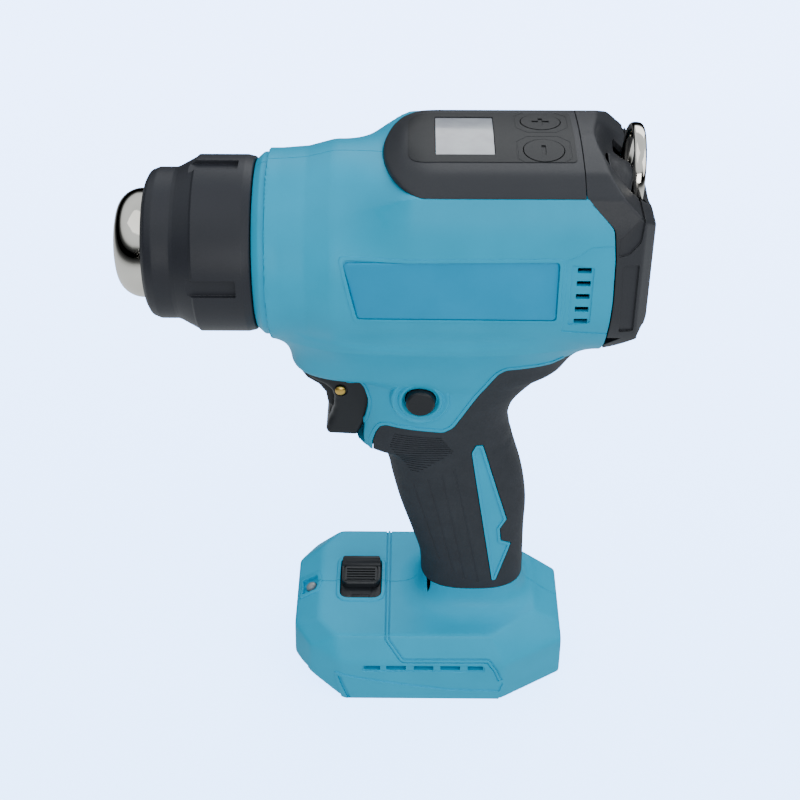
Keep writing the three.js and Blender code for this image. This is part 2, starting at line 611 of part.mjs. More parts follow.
// ---------------------------------------------------------------- hang ring
function hangRing() {
  const halfChord = Math.sqrt(RING_R ** 2 - RING_CENTRE_UP ** 2);
  const chordAngle = Math.asin(RING_CENTRE_UP / RING_R);
  // A round loop closed by a straight bar, offset from the strip's middle line.
  const outline = (offset) => {
    const points = [];
    for (let i = 0; i <= 24; i += 1) {
      const angle = -chordAngle + ((Math.PI + 2 * chordAngle) * i) / 24;
      points.push([(RING_R + offset) * Math.cos(angle), RING_CENTRE_UP + (RING_R + offset) * Math.sin(angle)]);
    }
    points[0] = [halfChord + offset, -offset];
    points[24] = [-halfChord - offset, -offset];
    return points;
  };
  const half = RING_DEPTH / 2;
  const loop = prismX(outline(RING_STRIP / 2), -half, half, [outline(-RING_STRIP / 2)]);
  const bar = rod('y', RING_STRIP / 2, -halfChord, halfChord, [0, 0], 16);
  const barRoom = block(-5, 5, -halfChord + 1.5, halfChord - 1.5, -2, 2);
  const ring = join(cut(loop, barRoom), bar);
  const lean = new THREE.Matrix4().makeRotationY(RING_LEAN).setPosition(RING_X, 0, RING_Z);
  return ring.transform(lean.elements);
}
add('hang_ring', hangRing(), CHROME);

// ---------------------------------------------------------------- trigger group
const TRIGGER = [
  [-27.2, 154.2], [-27.5, 150.6], [-24.3, 148.5], [-21.1, 146.7], [-18.7, 144.2], [-17.9, 141],
  [-18, 136], [-19, 132], [-20.6, 128], [-21.5, 124.4], [-21.3, 122.6], [-8.8, 122], [-5, 130],
  [-1.6, 138], [-1.6, 149], [-4.8, 152.2], [-9.6, 153.8], [-14, 154.2],
];
const LEVER = [
  [-30.2, 153.4], [-30.6, 149.6], [-28.6, 146.4], [-24, 143.2], [-21.4, 139.4], [-20.6, 134],
  [-18.2, 131.4], [-16.8, 134], [-15.6, 139], [-12.4, 142.4], [-11.2, 145], [-12.4, 148.4],
  [-17, 150], [-22, 153.4],
];
const LEVER_HALF = 5.2;
add('trigger', cut(
  prismY(TRIGGER, -11, 11),
  block(-40, -9.4, -LEVER_HALF - GAP, LEVER_HALF + GAP, 129, 160),
  rod('y', 1.9, -12, 12, [PIN_X, PIN_Z], 16),
), BLACK);
add('safety_lever', cut(
  prismY(LEVER, -LEVER_HALF, LEVER_HALF),
  rod('y', 1.9, -12, 12, [PIN_X, PIN_Z], 16),
), BLACK);
add('trigger_pin', join(
  rod('y', 1.55, -11.6, 11.6, [PIN_X, PIN_Z], 16),
  rod('y', 2.1, -12.1, -11.3, [PIN_X, PIN_Z], 16),
  rod('y', 2.1, 11.3, 12.1, [PIN_X, PIN_Z], 16),
), BRASS);
const SWITCH_FRONT = 11.2;
add('trigger_switch', join(
  block(SWITCH_FRONT, 30, -8.6, 8.6, 119, 137.5),
  block(30, 33, -6, -2, 122, 134),
  block(30, 33, 2, 6, 122, 134),
), BLACK);
add('trigger_spring', coil(-2.6, 13.1, 3, 5, [0, SPRING_Z], 0.5, 8), STEEL);

add('lock_button', join(
  rod('y', 5.3, -25.5, -12.6, [LOCK_X, LOCK_Z], 20),
  rod('y', 6.8, -14.4, -12.6, [LOCK_X, LOCK_Z], 20),
), BLACK);

// ---------------------------------------------------------------- foot: switch, lamp, battery terminals
add('slide_switch_base', block(SWITCH.x0 + GAP, SWITCH.x1 - GAP, SWITCH.y0 + GAP, SWITCH.y1 - GAP, 30.4, 32.2), BLACK);
const KNOB = { x0: SWITCH.x0 + 0.6, x1: SWITCH.x1 - 0.6, y0: -3.6, y1: 14 };
const knobGrips = Array.from({ length: 4 }, (_, i) => block(-16, -2, -1.4 + 2.4 * i, -0.4 + 2.4 * i, 35.2, 37));
add('slide_switch_knob', cut(
  hull([KNOB.x0, KNOB.x1].flatMap((x) => [
    [x, KNOB.y0, 32.5], [x, KNOB.y1, 32.5], [x, KNOB.y0 + 1, 34.6], [x, KNOB.y1 - 1.5, 36],
    [x, KNOB.y1 - 6, 36.2],
  ])),
  ...knobGrips,
), BLACK);
add('led_lamp', lampBar(2.4, -5.6, 0.6), LAMP);
add('power_board', join(
  block(-30, 24.5, -17, 17, 16.2, 17.8),
  rod('z', 5, 17.6, 27.6, [12, 9], 20),
  block(-4, 4, -14, -4, 17.6, 24),
  block(-24, -10, -10, 10, 17.6, 22),
), BOARD);
const TERMINAL = { front: 36.5, back: 49.4, half: 20 };
add('terminal_block', cut(
  block(TERMINAL.front, TERMINAL.back, -TERMINAL.half, TERMINAL.half, 1.8, 11.6),
  ...[-13, 0, 13].map((y) => block(TERMINAL.front + 1, TERMINAL.back + 1, y - 1, y + 1, 3.4, 9.4)),
), BLACK);
for (const [name, y] of [['negative_blade', -13], ['signal_blade', 0], ['positive_blade', 13]]) {
  add(name, block(TERMINAL.front + 1.4, TERMINAL.back - 0.4, y - 0.5, y + 0.5, 3.8, 9), BRASS);
}
add('positive_lead', wire([
  [34, 6, 27], [38, 6, 31], [40, 6, 50], [40, 6, 70], [34, 6, 84], [31, 6, 98], [33, 5, 110],
], 1.1, 18, 6), RED);
add('negative_lead', wire([
  [34, -6, 27], [38, -6, 31], [40, -6, 50], [40, -6, 70], [34, -6, 84], [31, -6, 98], [33, -5, 110],
], 1.1, 18, 6), BLACK);

export default model;
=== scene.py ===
import math

import bmesh
import bpy
import numpy as np
from mathutils import Matrix, Vector


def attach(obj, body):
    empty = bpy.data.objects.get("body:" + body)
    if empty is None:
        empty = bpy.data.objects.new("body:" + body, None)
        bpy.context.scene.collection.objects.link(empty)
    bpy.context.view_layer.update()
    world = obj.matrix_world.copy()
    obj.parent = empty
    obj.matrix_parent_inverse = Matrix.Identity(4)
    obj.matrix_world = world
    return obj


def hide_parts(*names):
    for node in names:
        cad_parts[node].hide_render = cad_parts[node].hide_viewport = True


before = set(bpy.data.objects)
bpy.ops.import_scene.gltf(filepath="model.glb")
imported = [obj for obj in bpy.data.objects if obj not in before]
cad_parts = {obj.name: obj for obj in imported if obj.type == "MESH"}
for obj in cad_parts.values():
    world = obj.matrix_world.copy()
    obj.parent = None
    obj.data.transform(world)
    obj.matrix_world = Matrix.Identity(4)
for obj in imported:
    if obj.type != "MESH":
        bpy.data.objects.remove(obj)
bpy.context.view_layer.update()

MM = 0.001

# ---------------------------------------------------------------- sizes shared with the CAD frame
AXIS_Z = 205.2  # nozzle, fan and motor axis
HALF_LENGTH = 98.2
HALF_WIDTH = 38.4
BARREL_R = 39.0
COVER_LOW_Z = 243.3  # lower edge of the black control cover
COVER_EDGE_Z = 248.3
COVER_TOP_Z = 250.7
COVER_BACK_X = 72.3
PIN_X, PIN_Z = -15.1, 145.0  # safety lever's pin
LOCK_X, LOCK_Z = 16.2, 148.5  # lock button
KEY_X, KEY_Y, KEY_R = 58.9, 11.0, 7.2  # the two keys, either side of the middle
RING_X, RING_Z = 92.0, 228.5  # hang ring's hinge line
RING_R = 15.7
RING_CENTRE_UP = 8.2
RING_LEAN = math.radians(3)
GRIP_LOW_Z = 45.2
FOOT_TOP_Z = 33.0
SEAM = 0.3  # gap between neighbouring mouldings
GRIP_WALL = 2.2
BEYOND = 60  # well past either side of the tool, for cuts that go right through

REAR_SEAM = [(73.2, COVER_LOW_Z), (82.5, 233), (83.6, 222), (84, 205), (83.2, 182), (82, 160)]
GRIP_SEAM = [
    (-2.6, 112), (-2.6, 123.4), (-1.2, 128.5), (0.5, 132.1), (2.9, 133.6), (25.3, 131.3),
    (29.3, 133.8), (45.6, 162.8), (48.4, 165.2), (66, 165.4), (70.6, 167.4),
]
GRIP_REGION = GRIP_SEAM + [(90, 167.4), (90, GRIP_LOW_Z), (-10, GRIP_LOW_Z), (-10, 112)]
TRIGGER_ARCH = [
    (-12.4, 154.8), (-8.8, 153.5), (-5.6, 149.9), (-4.2, 144.7), (-4.3, 140), (-5.6, 133.7),
    (-7.9, 129), (-9.2, 124), (-9.2, 115),
]
TRIGGER_POCKET = [(-14, 154.9), (1, 154.3), (5.6, 149), (5.6, 136), (3, 127), (-0.6, 120.2), (-14, 118)]

# Stations up the handle and the web under the body: height, front, back, half width.
COLUMN = [
    (26, 17.2, 61, 17.4), (41, 17.2, 61, 17.4), (57, 16.3, 60.8, 17), (70, 12.6, 60.6, 17.2),
    (86, 7.8, 60.6, 17.8), (100, 4.6, 58.2, 18.2), (109, 2.8, 55.6, 18.5), (113.6, 1.0, 54.3, 18.6),
    (116.6, -3.2, 53.6, 18.8), (118.4, -8.6, 53, 19), (121, -9.2, 52.6, 19.3), (130, -8.8, 51.6, 20),
    (141, -10, 55, 21), (149, -12, 62, 21.6), (157, -14, 71, 22.6), (176, -16, 78, 28),
]
NOSE = [(150, -34, 66, 21.8), (155, -34, 70, 22.2), (165, -35, 74, 25.5), (176, -36, 78, 30)]
NOSE_LOW_Z = 155.0


def mirrored(points):
    return [(x, side * y, z) for x, y, z in points for side in (1, -1)]


FOOT = mirrored([
    (-26.6, 24, FOOT_TOP_Z), (-19, 33.5, FOOT_TOP_Z), (47, 33.5, FOOT_TOP_Z), (66, 18, FOOT_TOP_Z),
    (-37.2, 20, 27), (-37.2, 24, 13), (-30, 32, 26), (-30, 33, 10), (-17, HALF_WIDTH, 22),
    (-16, HALF_WIDTH, 0), (52, HALF_WIDTH, 0), (53, HALF_WIDTH, 20),
    (78.4, 22, 0), (78.4, 22, 20), (77.4, 17, 25.5),
])


# ---------------------------------------------------------------- outlines
def rounded(points, radius, steps=4, closed=True):
    """The outline with each corner turned into an arc; radius is one number, or one for each point."""
    radii = radius if hasattr(radius, "__len__") else [radius] * len(points)
    corners = [Vector(p[:2]) for p in points]
    count = len(corners)
    made = []
    for i, corner in enumerate(corners):
        if not closed and i in (0, count - 1):
            made.append(tuple(corner))
            continue
        before = corners[i - 1] - corner
        after = corners[(i + 1) % count] - corner
        turn = before.angle(after)
        if radii[i] <= 0 or turn > math.pi - 0.01:
            made.append(tuple(corner))
            continue
        reach = min(radii[i] / math.tan(turn / 2), before.length * 0.49, after.length * 0.49)
        start = corner + before.normalized() * reach
        end = corner + after.normalized() * reach
        for k in range(steps + 1):
            t = k / steps
            made.append(tuple(start * (1 - t) ** 2 + corner * 2 * t * (1 - t) + end * t * t))
    return made


def offset(points, amount, closed=True):
    """The outline moved to the left of its own direction by an amount, with mitred corners."""
    count = len(points)
    made = []
    for i in range(count):
        here = Vector(points[i])
        before = here - Vector(points[i - 1]) if closed or i > 0 else None
        after = Vector(points[(i + 1) % count]) - here if closed or i < count - 1 else None
        before, after = before or after, after or before
        a = Vector((-before.y, before.x)).normalized()
        b = Vector((-after.y, after.x)).normalized()
        out = a + b
        made.append(tuple(here + out * (2 * amount / out.length_squared)))
    return made


def rectangle(x0, x1, y0, y1, grow=0.0):
    return [(x0 - grow, y0 - grow), (x1 + grow, y0 - grow), (x1 + grow, y1 + grow), (x0 - grow, y1 + grow)]


def band(path, near, far):
    """A strip beside an open path, between two distances to its left."""
    return offset(path, near, closed=False) + offset(path, far, closed=False)[::-1]


def arc(centre, radius, start, end, steps):
    angles = [math.radians(start + (end - start) * i / steps) for i in range(steps + 1)]
    return [(centre[0] + radius * math.cos(a), centre[1] + radius * math.sin(a)) for a in angles]


# ---------------------------------------------------------------- meshes
def mesh_object(name, points, faces, smooth_angle=None):
    """A new object from points in millimetres."""
    mesh = bpy.data.meshes.new(name)
    mesh.from_pydata((np.asarray(points, float) * MM).tolist(), [], faces)
    obj = bpy.data.objects.new(name, mesh)
    bpy.context.scene.collection.objects.link(obj)
    if smooth_angle is not None:
        shade(obj, smooth_angle)
    return obj


def shade(obj, angle=32):
    """Smooth shading, broken at edges sharper than the angle."""
    mesh = obj.data
    mesh.polygons.foreach_set("use_smooth", np.ones(len(mesh.polygons), bool))
    mesh.set_sharp_from_angle(angle=math.radians(angle))
    return obj


def facing_out(obj, merge=1e-7):
    """Merges points that coincide and turns every face outwards."""
    bm = bmesh.new()
    bm.from_mesh(obj.data)
    bmesh.ops.remove_doubles(bm, verts=bm.verts, dist=merge)
    bmesh.ops.recalc_face_normals(bm, faces=bm.faces)
    bm.to_mesh(obj.data)
    bm.free()
    return obj


AXES = {
    "x": lambda u, v, w: (w, u, v),
    "y": lambda u, v, w: (u, w, v),
    "z": lambda u, v, w: (u, v, w),
}


def prism(outline, low, high, axis="y", name="tool"):
    """An outline in the two other axes, standing from low to high along the axis."""
    place = AXES[axis]
    count = len(outline)
    points = [place(u, v, w) for w in (low, high) for u, v in outline]
    faces = [tuple(range(count)), tuple(range(count, 2 * count))]
    faces += [(i, (i + 1) % count, count + (i + 1) % count, count + i) for i in range(count)]
    return facing_out(mesh_object(name, points, faces))


def block(x0, x1, y0, y1, z0, z1, name="tool"):
    return prism(rectangle(x0, x1, y0, y1), z0, z1, "z", name)


def lathe(profile, centre, axis="x", segments=96, name="tool", closed=True):
    """A turned solid from (station on the axis, radius) points; centre is the other two coordinates."""
    place = AXES[axis]
    count = len(profile)
    points = []
    for i in range(segments):
        angle = 2 * math.pi * i / segments
        c, s = math.cos(angle), math.sin(angle)
        points += [place(centre[0] + r * c, centre[1] + r * s, w) for w, r in profile]
    faces = []
    for i in range(segments):
        here, there = i * count, ((i + 1) % segments) * count
        for k in range(count if closed else count - 1):
            k2 = (k + 1) % count
            faces.append((here + k, here + k2, there + k2, there + k))
    return facing_out(mesh_object(name, points, faces), merge=1e-6)


def bar(radius, low, high, centre, axis, segments=32, edge=0.0, name="tool"):
    """A round bar, with its two rims rounded off by edge."""
    outline = rounded([(low, 0), (low, radius), (high, radius), (high, 0)], [0, edge, edge, 0], 3)
    return lathe(outline, centre, axis, segments, name)


def gather(*objects):
    """Joins separate tools that don't touch into one object."""
    first, rest = objects[0], objects[1:]
    bm = bmesh.new()
    for obj in objects:
        bm.from_mesh(obj.data)
    bm.to_mesh(first.data)
    bm.free()
    for obj in rest:
        remove(obj)
    return first


def copy_of(obj):
    twin = bpy.data.objects.new(obj.name, obj.data.copy())
    bpy.context.scene.collection.objects.link(twin)
    return twin


def remove(*objects):
    for obj in objects:
        mesh = obj.data
        bpy.data.objects.remove(obj)
        bpy.data.meshes.remove(mesh)


def applied(obj):
    """Bakes an object's modifiers into its mesh."""
    graph = bpy.context.evaluated_depsgraph_get()
    mesh = bpy.data.meshes.new_from_object(obj.evaluated_get(graph))
    old = obj.data
    obj.modifiers.clear()
    obj.data = mesh
    bpy.data.meshes.remove(old)
    return obj


def boolean(target, tool, operation):
    """Applies one Boolean to the target and uses up the tool."""
    modifier = target.modifiers.new("boolean", "BOOLEAN")
    modifier.operation = operation
    modifier.solver = "MANIFOLD"
    modifier.object = tool
    applied(target)
    if len(target.data.polygons) == 0:
        raise RuntimeError(f"{operation} of {target.name} left nothing")
    remove(tool)
    return target


def cut(target, *tools):
    for tool in tools:
        boolean(target, tool, "DIFFERENCE")
    return target


def join(target, *tools):
    for tool in tools:
        boolean(target, tool, "UNION")
    return target


def within(target, tool):
    return boolean(target, tool, "INTERSECT")


def bevelled(obj, width, segments=3, angle=30):
    """Rounds every edge sharper than the angle."""
    modifier = obj.modifiers.new("bevel", "BEVEL")
    modifier.width = width * MM
    modifier.segments = segments
    modifier.limit_method = "ANGLE"
    modifier.angle_limit = math.radians(angle)
    modifier.use_clamp_overlap = True
    modifier.harden_normals = False
    return applied(obj)


def transformed(obj, matrix):
    obj.data.transform(matrix)
    return obj


# ---------------------------------------------------------------- smooth solids from distance fields
def smooth_min(a, b, k):
    h = np.maximum(k - np.abs(a - b), 0) / k
    return np.minimum(a, b) - h * h * (k / 4)


def smooth_max(a, b, k):
    h = np.maximum(k - np.abs(a - b), 0) / k
    return np.maximum(a, b) + h * h * (k / 4)


def through(table, column):
    """A smooth curve through one column of a table of stations, against its first column."""
    t = np.array([row[0] for row in table], float)
    values = np.array([row[column] for row in table], float)
    slopes = np.gradient(values, t)
    at = np.linspace(t[0], t[-1], 400)
    i = np.clip(np.searchsorted(t, at) - 1, 0, len(t) - 2)
    span = t[i + 1] - t[i]
    u = (at - t[i]) / span
    curve = (
        values[i] * (1 + 2 * u) * (1 - u) ** 2 + values[i + 1] * u * u * (3 - 2 * u)
        + span * u * (1 - u) * ((1 - u) * slopes[i] - u * slopes[i + 1])
    )
    return lambda z: np.interp(z, at, curve)


def oval_column(table, power=2.667):
    """Distance to a column of superellipses whose front, back and half width follow its stations."""
    front, back, half = (through(table, column) for column in (1, 2, 3))

    def field(x, y, z):
        a, b, h = front(z), back(z), half(z)
        u = x - (a + b) / 2
        radial = np.sqrt(u * u + y * y) + 1e-6
        norm = (np.abs(u / ((b - a) / 2)) ** power + np.abs(y / h) ** power) ** (1 / power) + 1e-9
        return radial - radial / norm

    return field


def hull_field(points, softness):
    """Distance to the convex hull of the points, with its edges rounded off."""
    bm = bmesh.new()
    for point in points:
        bm.verts.new(point)
    bmesh.ops.convex_hull(bm, input=bm.verts)
    centre = sum((Vector(p) for p in points), Vector()) / len(points)
    planes = {}
    for face in bm.faces:
        normal = face.normal.copy()
        reach = normal.dot(face.verts[0].co)
        if normal.dot(centre) > reach:
            normal, reach = -normal, -reach
        planes[tuple(round(v, 2) for v in (*normal, reach / 10))] = (*normal, reach)
    bm.free()

    def field(x, y, z):
        sides = [a * x + b * y + c * z - d for a, b, c, d in planes.values()]
        top = sides[0]
        for side in sides[1:]:
            top = np.maximum(top, side)
        total = sum(np.exp(np.maximum((side - top) / softness, -30)) for side in sides)
        return top + softness * np.log(total)

    return field


def contour(field, low, high, step, name="skin"):
    """The surface where the field is zero, as evenly sized quads, closed off at the box from low to high."""
    def shape_at(x, y, z):
        inset = 0.5 * step
        value = field(x, y, z)
        for place, least, most in zip((x, y, z), low, high):
            value = np.maximum(value, np.maximum(least + inset - place, place - most + inset))
        return value

    axes = [np.arange(a, b + step, step, dtype=np.float32) for a, b in zip(low, high)]
    x, y, z = (axes[0][:, None, None], axes[1][None, :, None], axes[2][None, None, :])
    values = np.broadcast_to(shape_at(x, y, z), [len(a) for a in axes])
    inside = values < 0
    shape = [n - 1 for n in values.shape]
    corners = [(i, j, k) for i in (0, 1) for j in (0, 1) for k in (0, 1)]
    count = sum(
        inside[i:i + shape[0], j:j + shape[1], k:k + shape[2]].astype(np.int8) for i, j, k in corners
    )
    cells = np.argwhere((count > 0) & (count < 8))
    index = np.full(shape, -1, np.int64)
    index[tuple(cells.T)] = np.arange(len(cells))
    total = np.zeros((len(cells), 3))
    crossings = np.zeros(len(cells))
    for a in corners:
        for b in corners:
            if sum(b) - sum(a) != 1 or any(q < p for p, q in zip(a, b)):
                continue
            va = values[tuple((cells + a).T)]
            vb = values[tuple((cells + b).T)]
            crossed = (va < 0) != (vb < 0)
            t = np.where(crossed, va / np.where(crossed, va - vb, 1), 0)
            at = np.array(a) + t[:, None] * (np.array(b) - np.array(a))
            total += at * crossed[:, None]
            crossings += crossed
    points = (cells + total / crossings[:, None]) * step + np.array(low)
    for _ in range(3):
        distance = shape_at(*points.T)
        slope = gradient(shape_at, points)
        steps = distance[:, None] * slope / np.maximum((slope ** 2).sum(1), 0.2)[:, None]
        points -= np.clip(steps, -0.6 * step, 0.6 * step)
    faces = []
    for d in range(3):
        e, f = (d + 1) % 3, (d + 2) % 3
        unit = np.eye(3, dtype=int)
        here = [slice(None)] * 3
        here[d] = slice(0, -1)
        there = [slice(None)] * 3
        there[d] = slice(1, None)
        starts = np.argwhere(inside[tuple(here)] != inside[tuple(there)])
        starts = starts[(starts[:, e] > 0) & (starts[:, f] > 0)]
        starts = starts[(starts[:, e] < shape[e]) & (starts[:, f] < shape[f])]
        around = [starts, starts - unit[e], starts - unit[e] - unit[f], starts - unit[f]]
        quads = np.stack([index[tuple(cell.T)] for cell in around], 1)
        outward = inside[tuple(starts.T)]
        faces += np.where(outward[:, None], quads, quads[:, ::-1]).tolist()
    return mesh_object(name, points, faces)


def gradient(field, points, reach=0.05):
    """Slope of the field at each point."""
    slopes = []
    for axis in range(3):
        shift = np.zeros(3)
        shift[axis] = reach
        slopes.append((field(*(points + shift).T) - field(*(points - shift).T)) / (2 * reach))
    return np.stack(slopes, 1)


def grown(obj, field, amount):
    """A copy of a contoured surface, moved outwards by an amount."""
    twin = copy_of(obj)
    twin.name = "tool"
    points = np.zeros(len(twin.data.vertices) * 3)
    twin.data.vertices.foreach_get("co", points)
    points = points.reshape(-1, 3) / MM
    slope = gradient(field, points)
    points += amount * slope / np.linalg.norm(slope, axis=1)[:, None]
    twin.data.vertices.foreach_set("co", (points * MM).ravel())
    twin.data.update()
    return twin


# ---------------------------------------------------------------- materials
def srgb(r, g, b):
    """A colour as seen on a screen, 0 to 255, as the linear values that Blender uses."""
    return tuple(
        (v / 255 / 12.92) if v / 255 <= 0.04045 else ((v / 255 + 0.055) / 1.055) ** 2.4 for v in (r, g, b)
    ) + (1.0,)


class Finish:
    """A procedural material, built node by node."""

    def __init__(self, name):
        self.material = bpy.data.materials.new(name)
        self.material.use_nodes = True
        self.tree = self.material.node_tree
        self.shader = self.tree.nodes["Principled BSDF"]
        self.place = self.node("ShaderNodeTexCoord").outputs["Object"]

    def node(self, kind, inputs=None, **settings):
        made = self.tree.nodes.new(kind)
        for key, value in settings.items():
            setattr(made, key, value)
        for key, value in (inputs or {}).items():
            self.give(made.inputs[key], value)
        return made

    def give(self, socket, value):
        if isinstance(value, bpy.types.NodeSocket):
            self.tree.links.new(value, socket)
        else:
            socket.default_value = value

    def set(self, **values):
        """Sets the shader's sockets; an underscore stands for a space."""
        for key, value in values.items():
            self.give(self.shader.inputs[key.replace("_", " ")], value)
        return self

    def noise(self, size, detail=2.0, roughness=0.5, place=None):
        """Noise whose features are about size millimetres wide."""
        made = self.node("ShaderNodeTexNoise", {
            "Vector": place or self.place, "Scale": 1 / (size * MM), "Detail": detail, "Roughness": roughness,
        })
        return made.outputs["Fac"]

    def ranged(self, value, low, high, to_low, to_high):
        return self.node("ShaderNodeMapRange", {
            "Value": value, "From Min": low, "From Max": high, "To Min": to_low, "To Max": to_high,
        }).outputs["Result"]

    def math(self, operation, a, b=0.0):
        made = self.node("ShaderNodeMath", operation=operation)
        self.give(made.inputs[0], a)
        self.give(made.inputs[1], b)
        return made.outputs[0]

    def mix(self, factor, a, b):
        made = self.node("ShaderNodeMix", data_type="RGBA")
        self.give(made.inputs["Factor"], factor)
        self.give(made.inputs["A"], a)
        self.give(made.inputs["B"], b)
        return made.outputs["Result"]

    def edges(self, radius):
        """The normal with its edges softened over a radius, and a mask that is 1 on the edges."""
        soft = self.node("ShaderNodeBevel", {"Radius": radius * MM}, samples=4).outputs["Normal"]
        true = self.node("ShaderNodeNewGeometry").outputs["Normal"]
        along = self.node("ShaderNodeVectorMath", operation="DOT_PRODUCT")
        self.give(along.inputs[0], soft)
        self.give(along.inputs[1], true)
        mask = self.ranged(along.outputs["Value"], 0.99, 0.86, 0.0, 1.0)
        return soft, mask

    def bump(self, height, depth, normal=None):
        """Bump whose full height is depth millimetres."""
        inputs = {"Height": height, "Strength": 1.0, "Distance": depth * MM}
        if normal is not None:
            inputs["Normal"] = normal
        self.give(self.shader.inputs["Normal"], self.node("ShaderNodeBump", inputs).outputs["Normal"])


def shifted(colour, amount):
    """The colour made lighter (above 1) or darker."""
    return tuple(min(1.0, v * amount) for v in colour[:3]) + (1.0,)


def moulded(name, colour, roughness, grain, depth, edge_highlight_gain=1.35, edge=0.35, level=0.5):
    """Moulded plastic: an eroded-steel grain, faint colour patches, and edges that are smoother and painted
    lighter as a highlight.
    """
    made = Finish(name)
    soft, rim = made.edges(edge)
    patches = made.noise(14, 3)
    highlight_breakup = made.noise(1.6, 4, 0.7)
    fine = made.noise(grain, 2)
    # Painted highlight: the colour is lightened along the edges, broken into patches by noise.
    painted_edge_highlight = made.math("MULTIPLY", rim, made.ranged(highlight_breakup, 0.35, 0.65, 0.25, 1.0))
    field = made.mix(made.ranged(patches, 0.3, 0.7, 0, 1), shifted(colour, 0.965), shifted(colour, 1.03))
    made.set(
        Base_Color=made.mix(painted_edge_highlight, field, shifted(colour, edge_highlight_gain)),
        Roughness=made.math(
            "SUBTRACT", made.ranged(fine, 0.3, 0.7, roughness - 0.04, roughness + 0.05),
            made.math("MULTIPLY", rim, 0.08),
        ),
        Specular_IOR_Level=level,
    )
    made.bump(fine, depth, soft)
    return made.material


def rubbery(name, colour):
    """Soft grip rubber: matt, with a pebbled grain, dusty patches and a painted highlight along its edges."""
    made = Finish(name)
    soft, rim = made.edges(0.3)
    pebbles = made.node("ShaderNodeTexVoronoi", {
        "Vector": made.place, "Scale": 1 / (0.55 * MM), "Randomness": 1.0,
    }).outputs["Distance"]
    dust = made.noise(7, 4, 0.65)
    speck = made.noise(0.8, 2)
    field = made.mix(made.ranged(dust, 0.35, 0.7, 0, 1), shifted(colour, 0.93), shifted(colour, 1.12))
    made.set(
        # Painted highlight: the edges are painted lighter.
        Base_Color=made.mix(made.math("MULTIPLY", rim, 0.6), field, shifted(colour, 1.6)),
        Roughness=made.ranged(speck, 0.3, 0.7, 0.58, 0.7),
        Specular_IOR_Level=0.3,
    )
    made.bump(pebbles, 0.03, soft)
    return made.material


def metal(name, colour, roughness, smear=0.05, scratch=0.004):
    """Metal with faint polishing marks and fingered patches."""
    made = Finish(name)
    soft = made.edges(0.2)[0]
    patches = made.noise(9, 4, 0.6)
    stretched = made.node("ShaderNodeMapping", {"Vector": made.place, "Scale": (1.0, 6.0, 6.0)})
    lines = made.noise(1.2, 3, 0.6, stretched.outputs["Vector"])
    made.set(
        Base_Color=made.mix(made.ranged(patches, 0.3, 0.7, 0, 1), shifted(colour, 0.95), colour),
        Metallic=1.0,
        Roughness=made.ranged(patches, 0.25, 0.75, roughness, roughness + smear),
    )
    made.bump(lines, scratch, soft)
    return made.material


def plain(name, colour, roughness, speckle=0.06, size=2.0, depth=0.01):
    """Inner pieces: a speckled surface with a light grain."""
    made = Finish(name)
    spots = made.noise(size, 4, 0.6)
    made.set(
        Base_Color=made.mix(
            made.ranged(spots, 0.3, 0.7, 0, 1), shifted(colour, 1 - speckle), shifted(colour, 1 + speckle),
        ),
        Roughness=made.ranged(spots, 0.3, 0.7, roughness - 0.05, roughness + 0.05),
    )
    made.bump(spots, depth)
    return made.material


TEAL = moulded("teal_plastic", srgb(4, 168, 208), 0.42, 0.36, 0.02, level=0.16)
PANEL = moulded("panel_plastic", srgb(2, 154, 202), 0.36, 0.32, 0.01, level=0.14)
BLACK = moulded("black_plastic", srgb(43, 45, 50), 0.48, 0.42, 0.04, edge_highlight_gain=1.7, level=0.35)
COLLAR = moulded("collar_plastic", srgb(40, 42, 48), 0.46, 0.36, 0.016, edge_highlight_gain=1.6, level=0.3)
TRIGGER_BLACK = moulded("trigger_plastic", srgb(32, 35, 39), 0.4, 0.3, 0.008, edge_highlight_gain=1.8, level=0.3)
MEMBRANE = moulded("membrane", srgb(33, 35, 38), 0.5, 0.25, 0.006, edge_highlight_gain=1.5, edge=0.15, level=0.3)
INLAY = moulded("inlay_plastic", srgb(6, 168, 208), 0.38, 0.3, 0.008, level=0.16)
RUBBER = rubbery("grip_rubber", srgb(46, 50, 56))
CHROME = metal("polished_chrome", srgb(228, 224, 214), 0.05, 0.05)
STEEL = metal("zinc_steel", srgb(176, 178, 180), 0.3, 0.12, scratch=0.01)
BRASS = metal("brass", srgb(214, 178, 92), 0.25, 0.12)
WIRE = metal("resistance_wire", srgb(120, 112, 104), 0.4, 0.1)
MICA = plain("mica", srgb(196, 180, 146), 0.45, 0.15, 6, 0.03)
CERAMIC = plain("ceramic", srgb(228, 222, 208), 0.6)
BOARD = plain("circuit_board", srgb(30, 104, 62), 0.4, 0.08, 1.2)
PALE = plain("pale_plastic", srgb(214, 212, 204), 0.5)
RED = plain("red_wire", srgb(176, 40, 34), 0.45)
FOAM = plain("filter_foam", srgb(38, 38, 40), 0.9, 0.3, 0.9, 0.2)
DARK = plain("inner_black", srgb(38, 39, 42), 0.55)


def display_glass():
    """The blank display: a grey reflective film under a thin hard window."""
    made = Finish("display_window")
    clouds = made.ranged(made.noise(9, 2), 0.35, 0.65, 0, 1)
    made.set(
        Base_Color=made.mix(clouds, srgb(160, 163, 172), srgb(176, 182, 188)),
        Roughness=made.ranged(made.noise(3, 3), 0.3, 0.7, 0.12, 0.2),
        Specular_IOR_Level=0.6,
        Coat_Weight=0.5,
        Coat_Roughness=0.05,
    )
    made.bump(made.noise(12, 2), 0.02)
    return made.material


def lamp_glass():
    """The lamp's clear dome."""
    made = Finish("lamp_lens")
    made.set(
        Base_Color=made.mix(made.noise(0.9, 2), srgb(120, 130, 134), srgb(150, 158, 160)),
        Roughness=made.ranged(made.noise(0.5, 2), 0.3, 0.7, 0.08, 0.16),
        Specular_IOR_Level=0.7,
    )
    made.bump(made.noise(0.8, 2), 0.03)
    return made.material


GLASS = display_glass()
LAMP = lamp_glass()


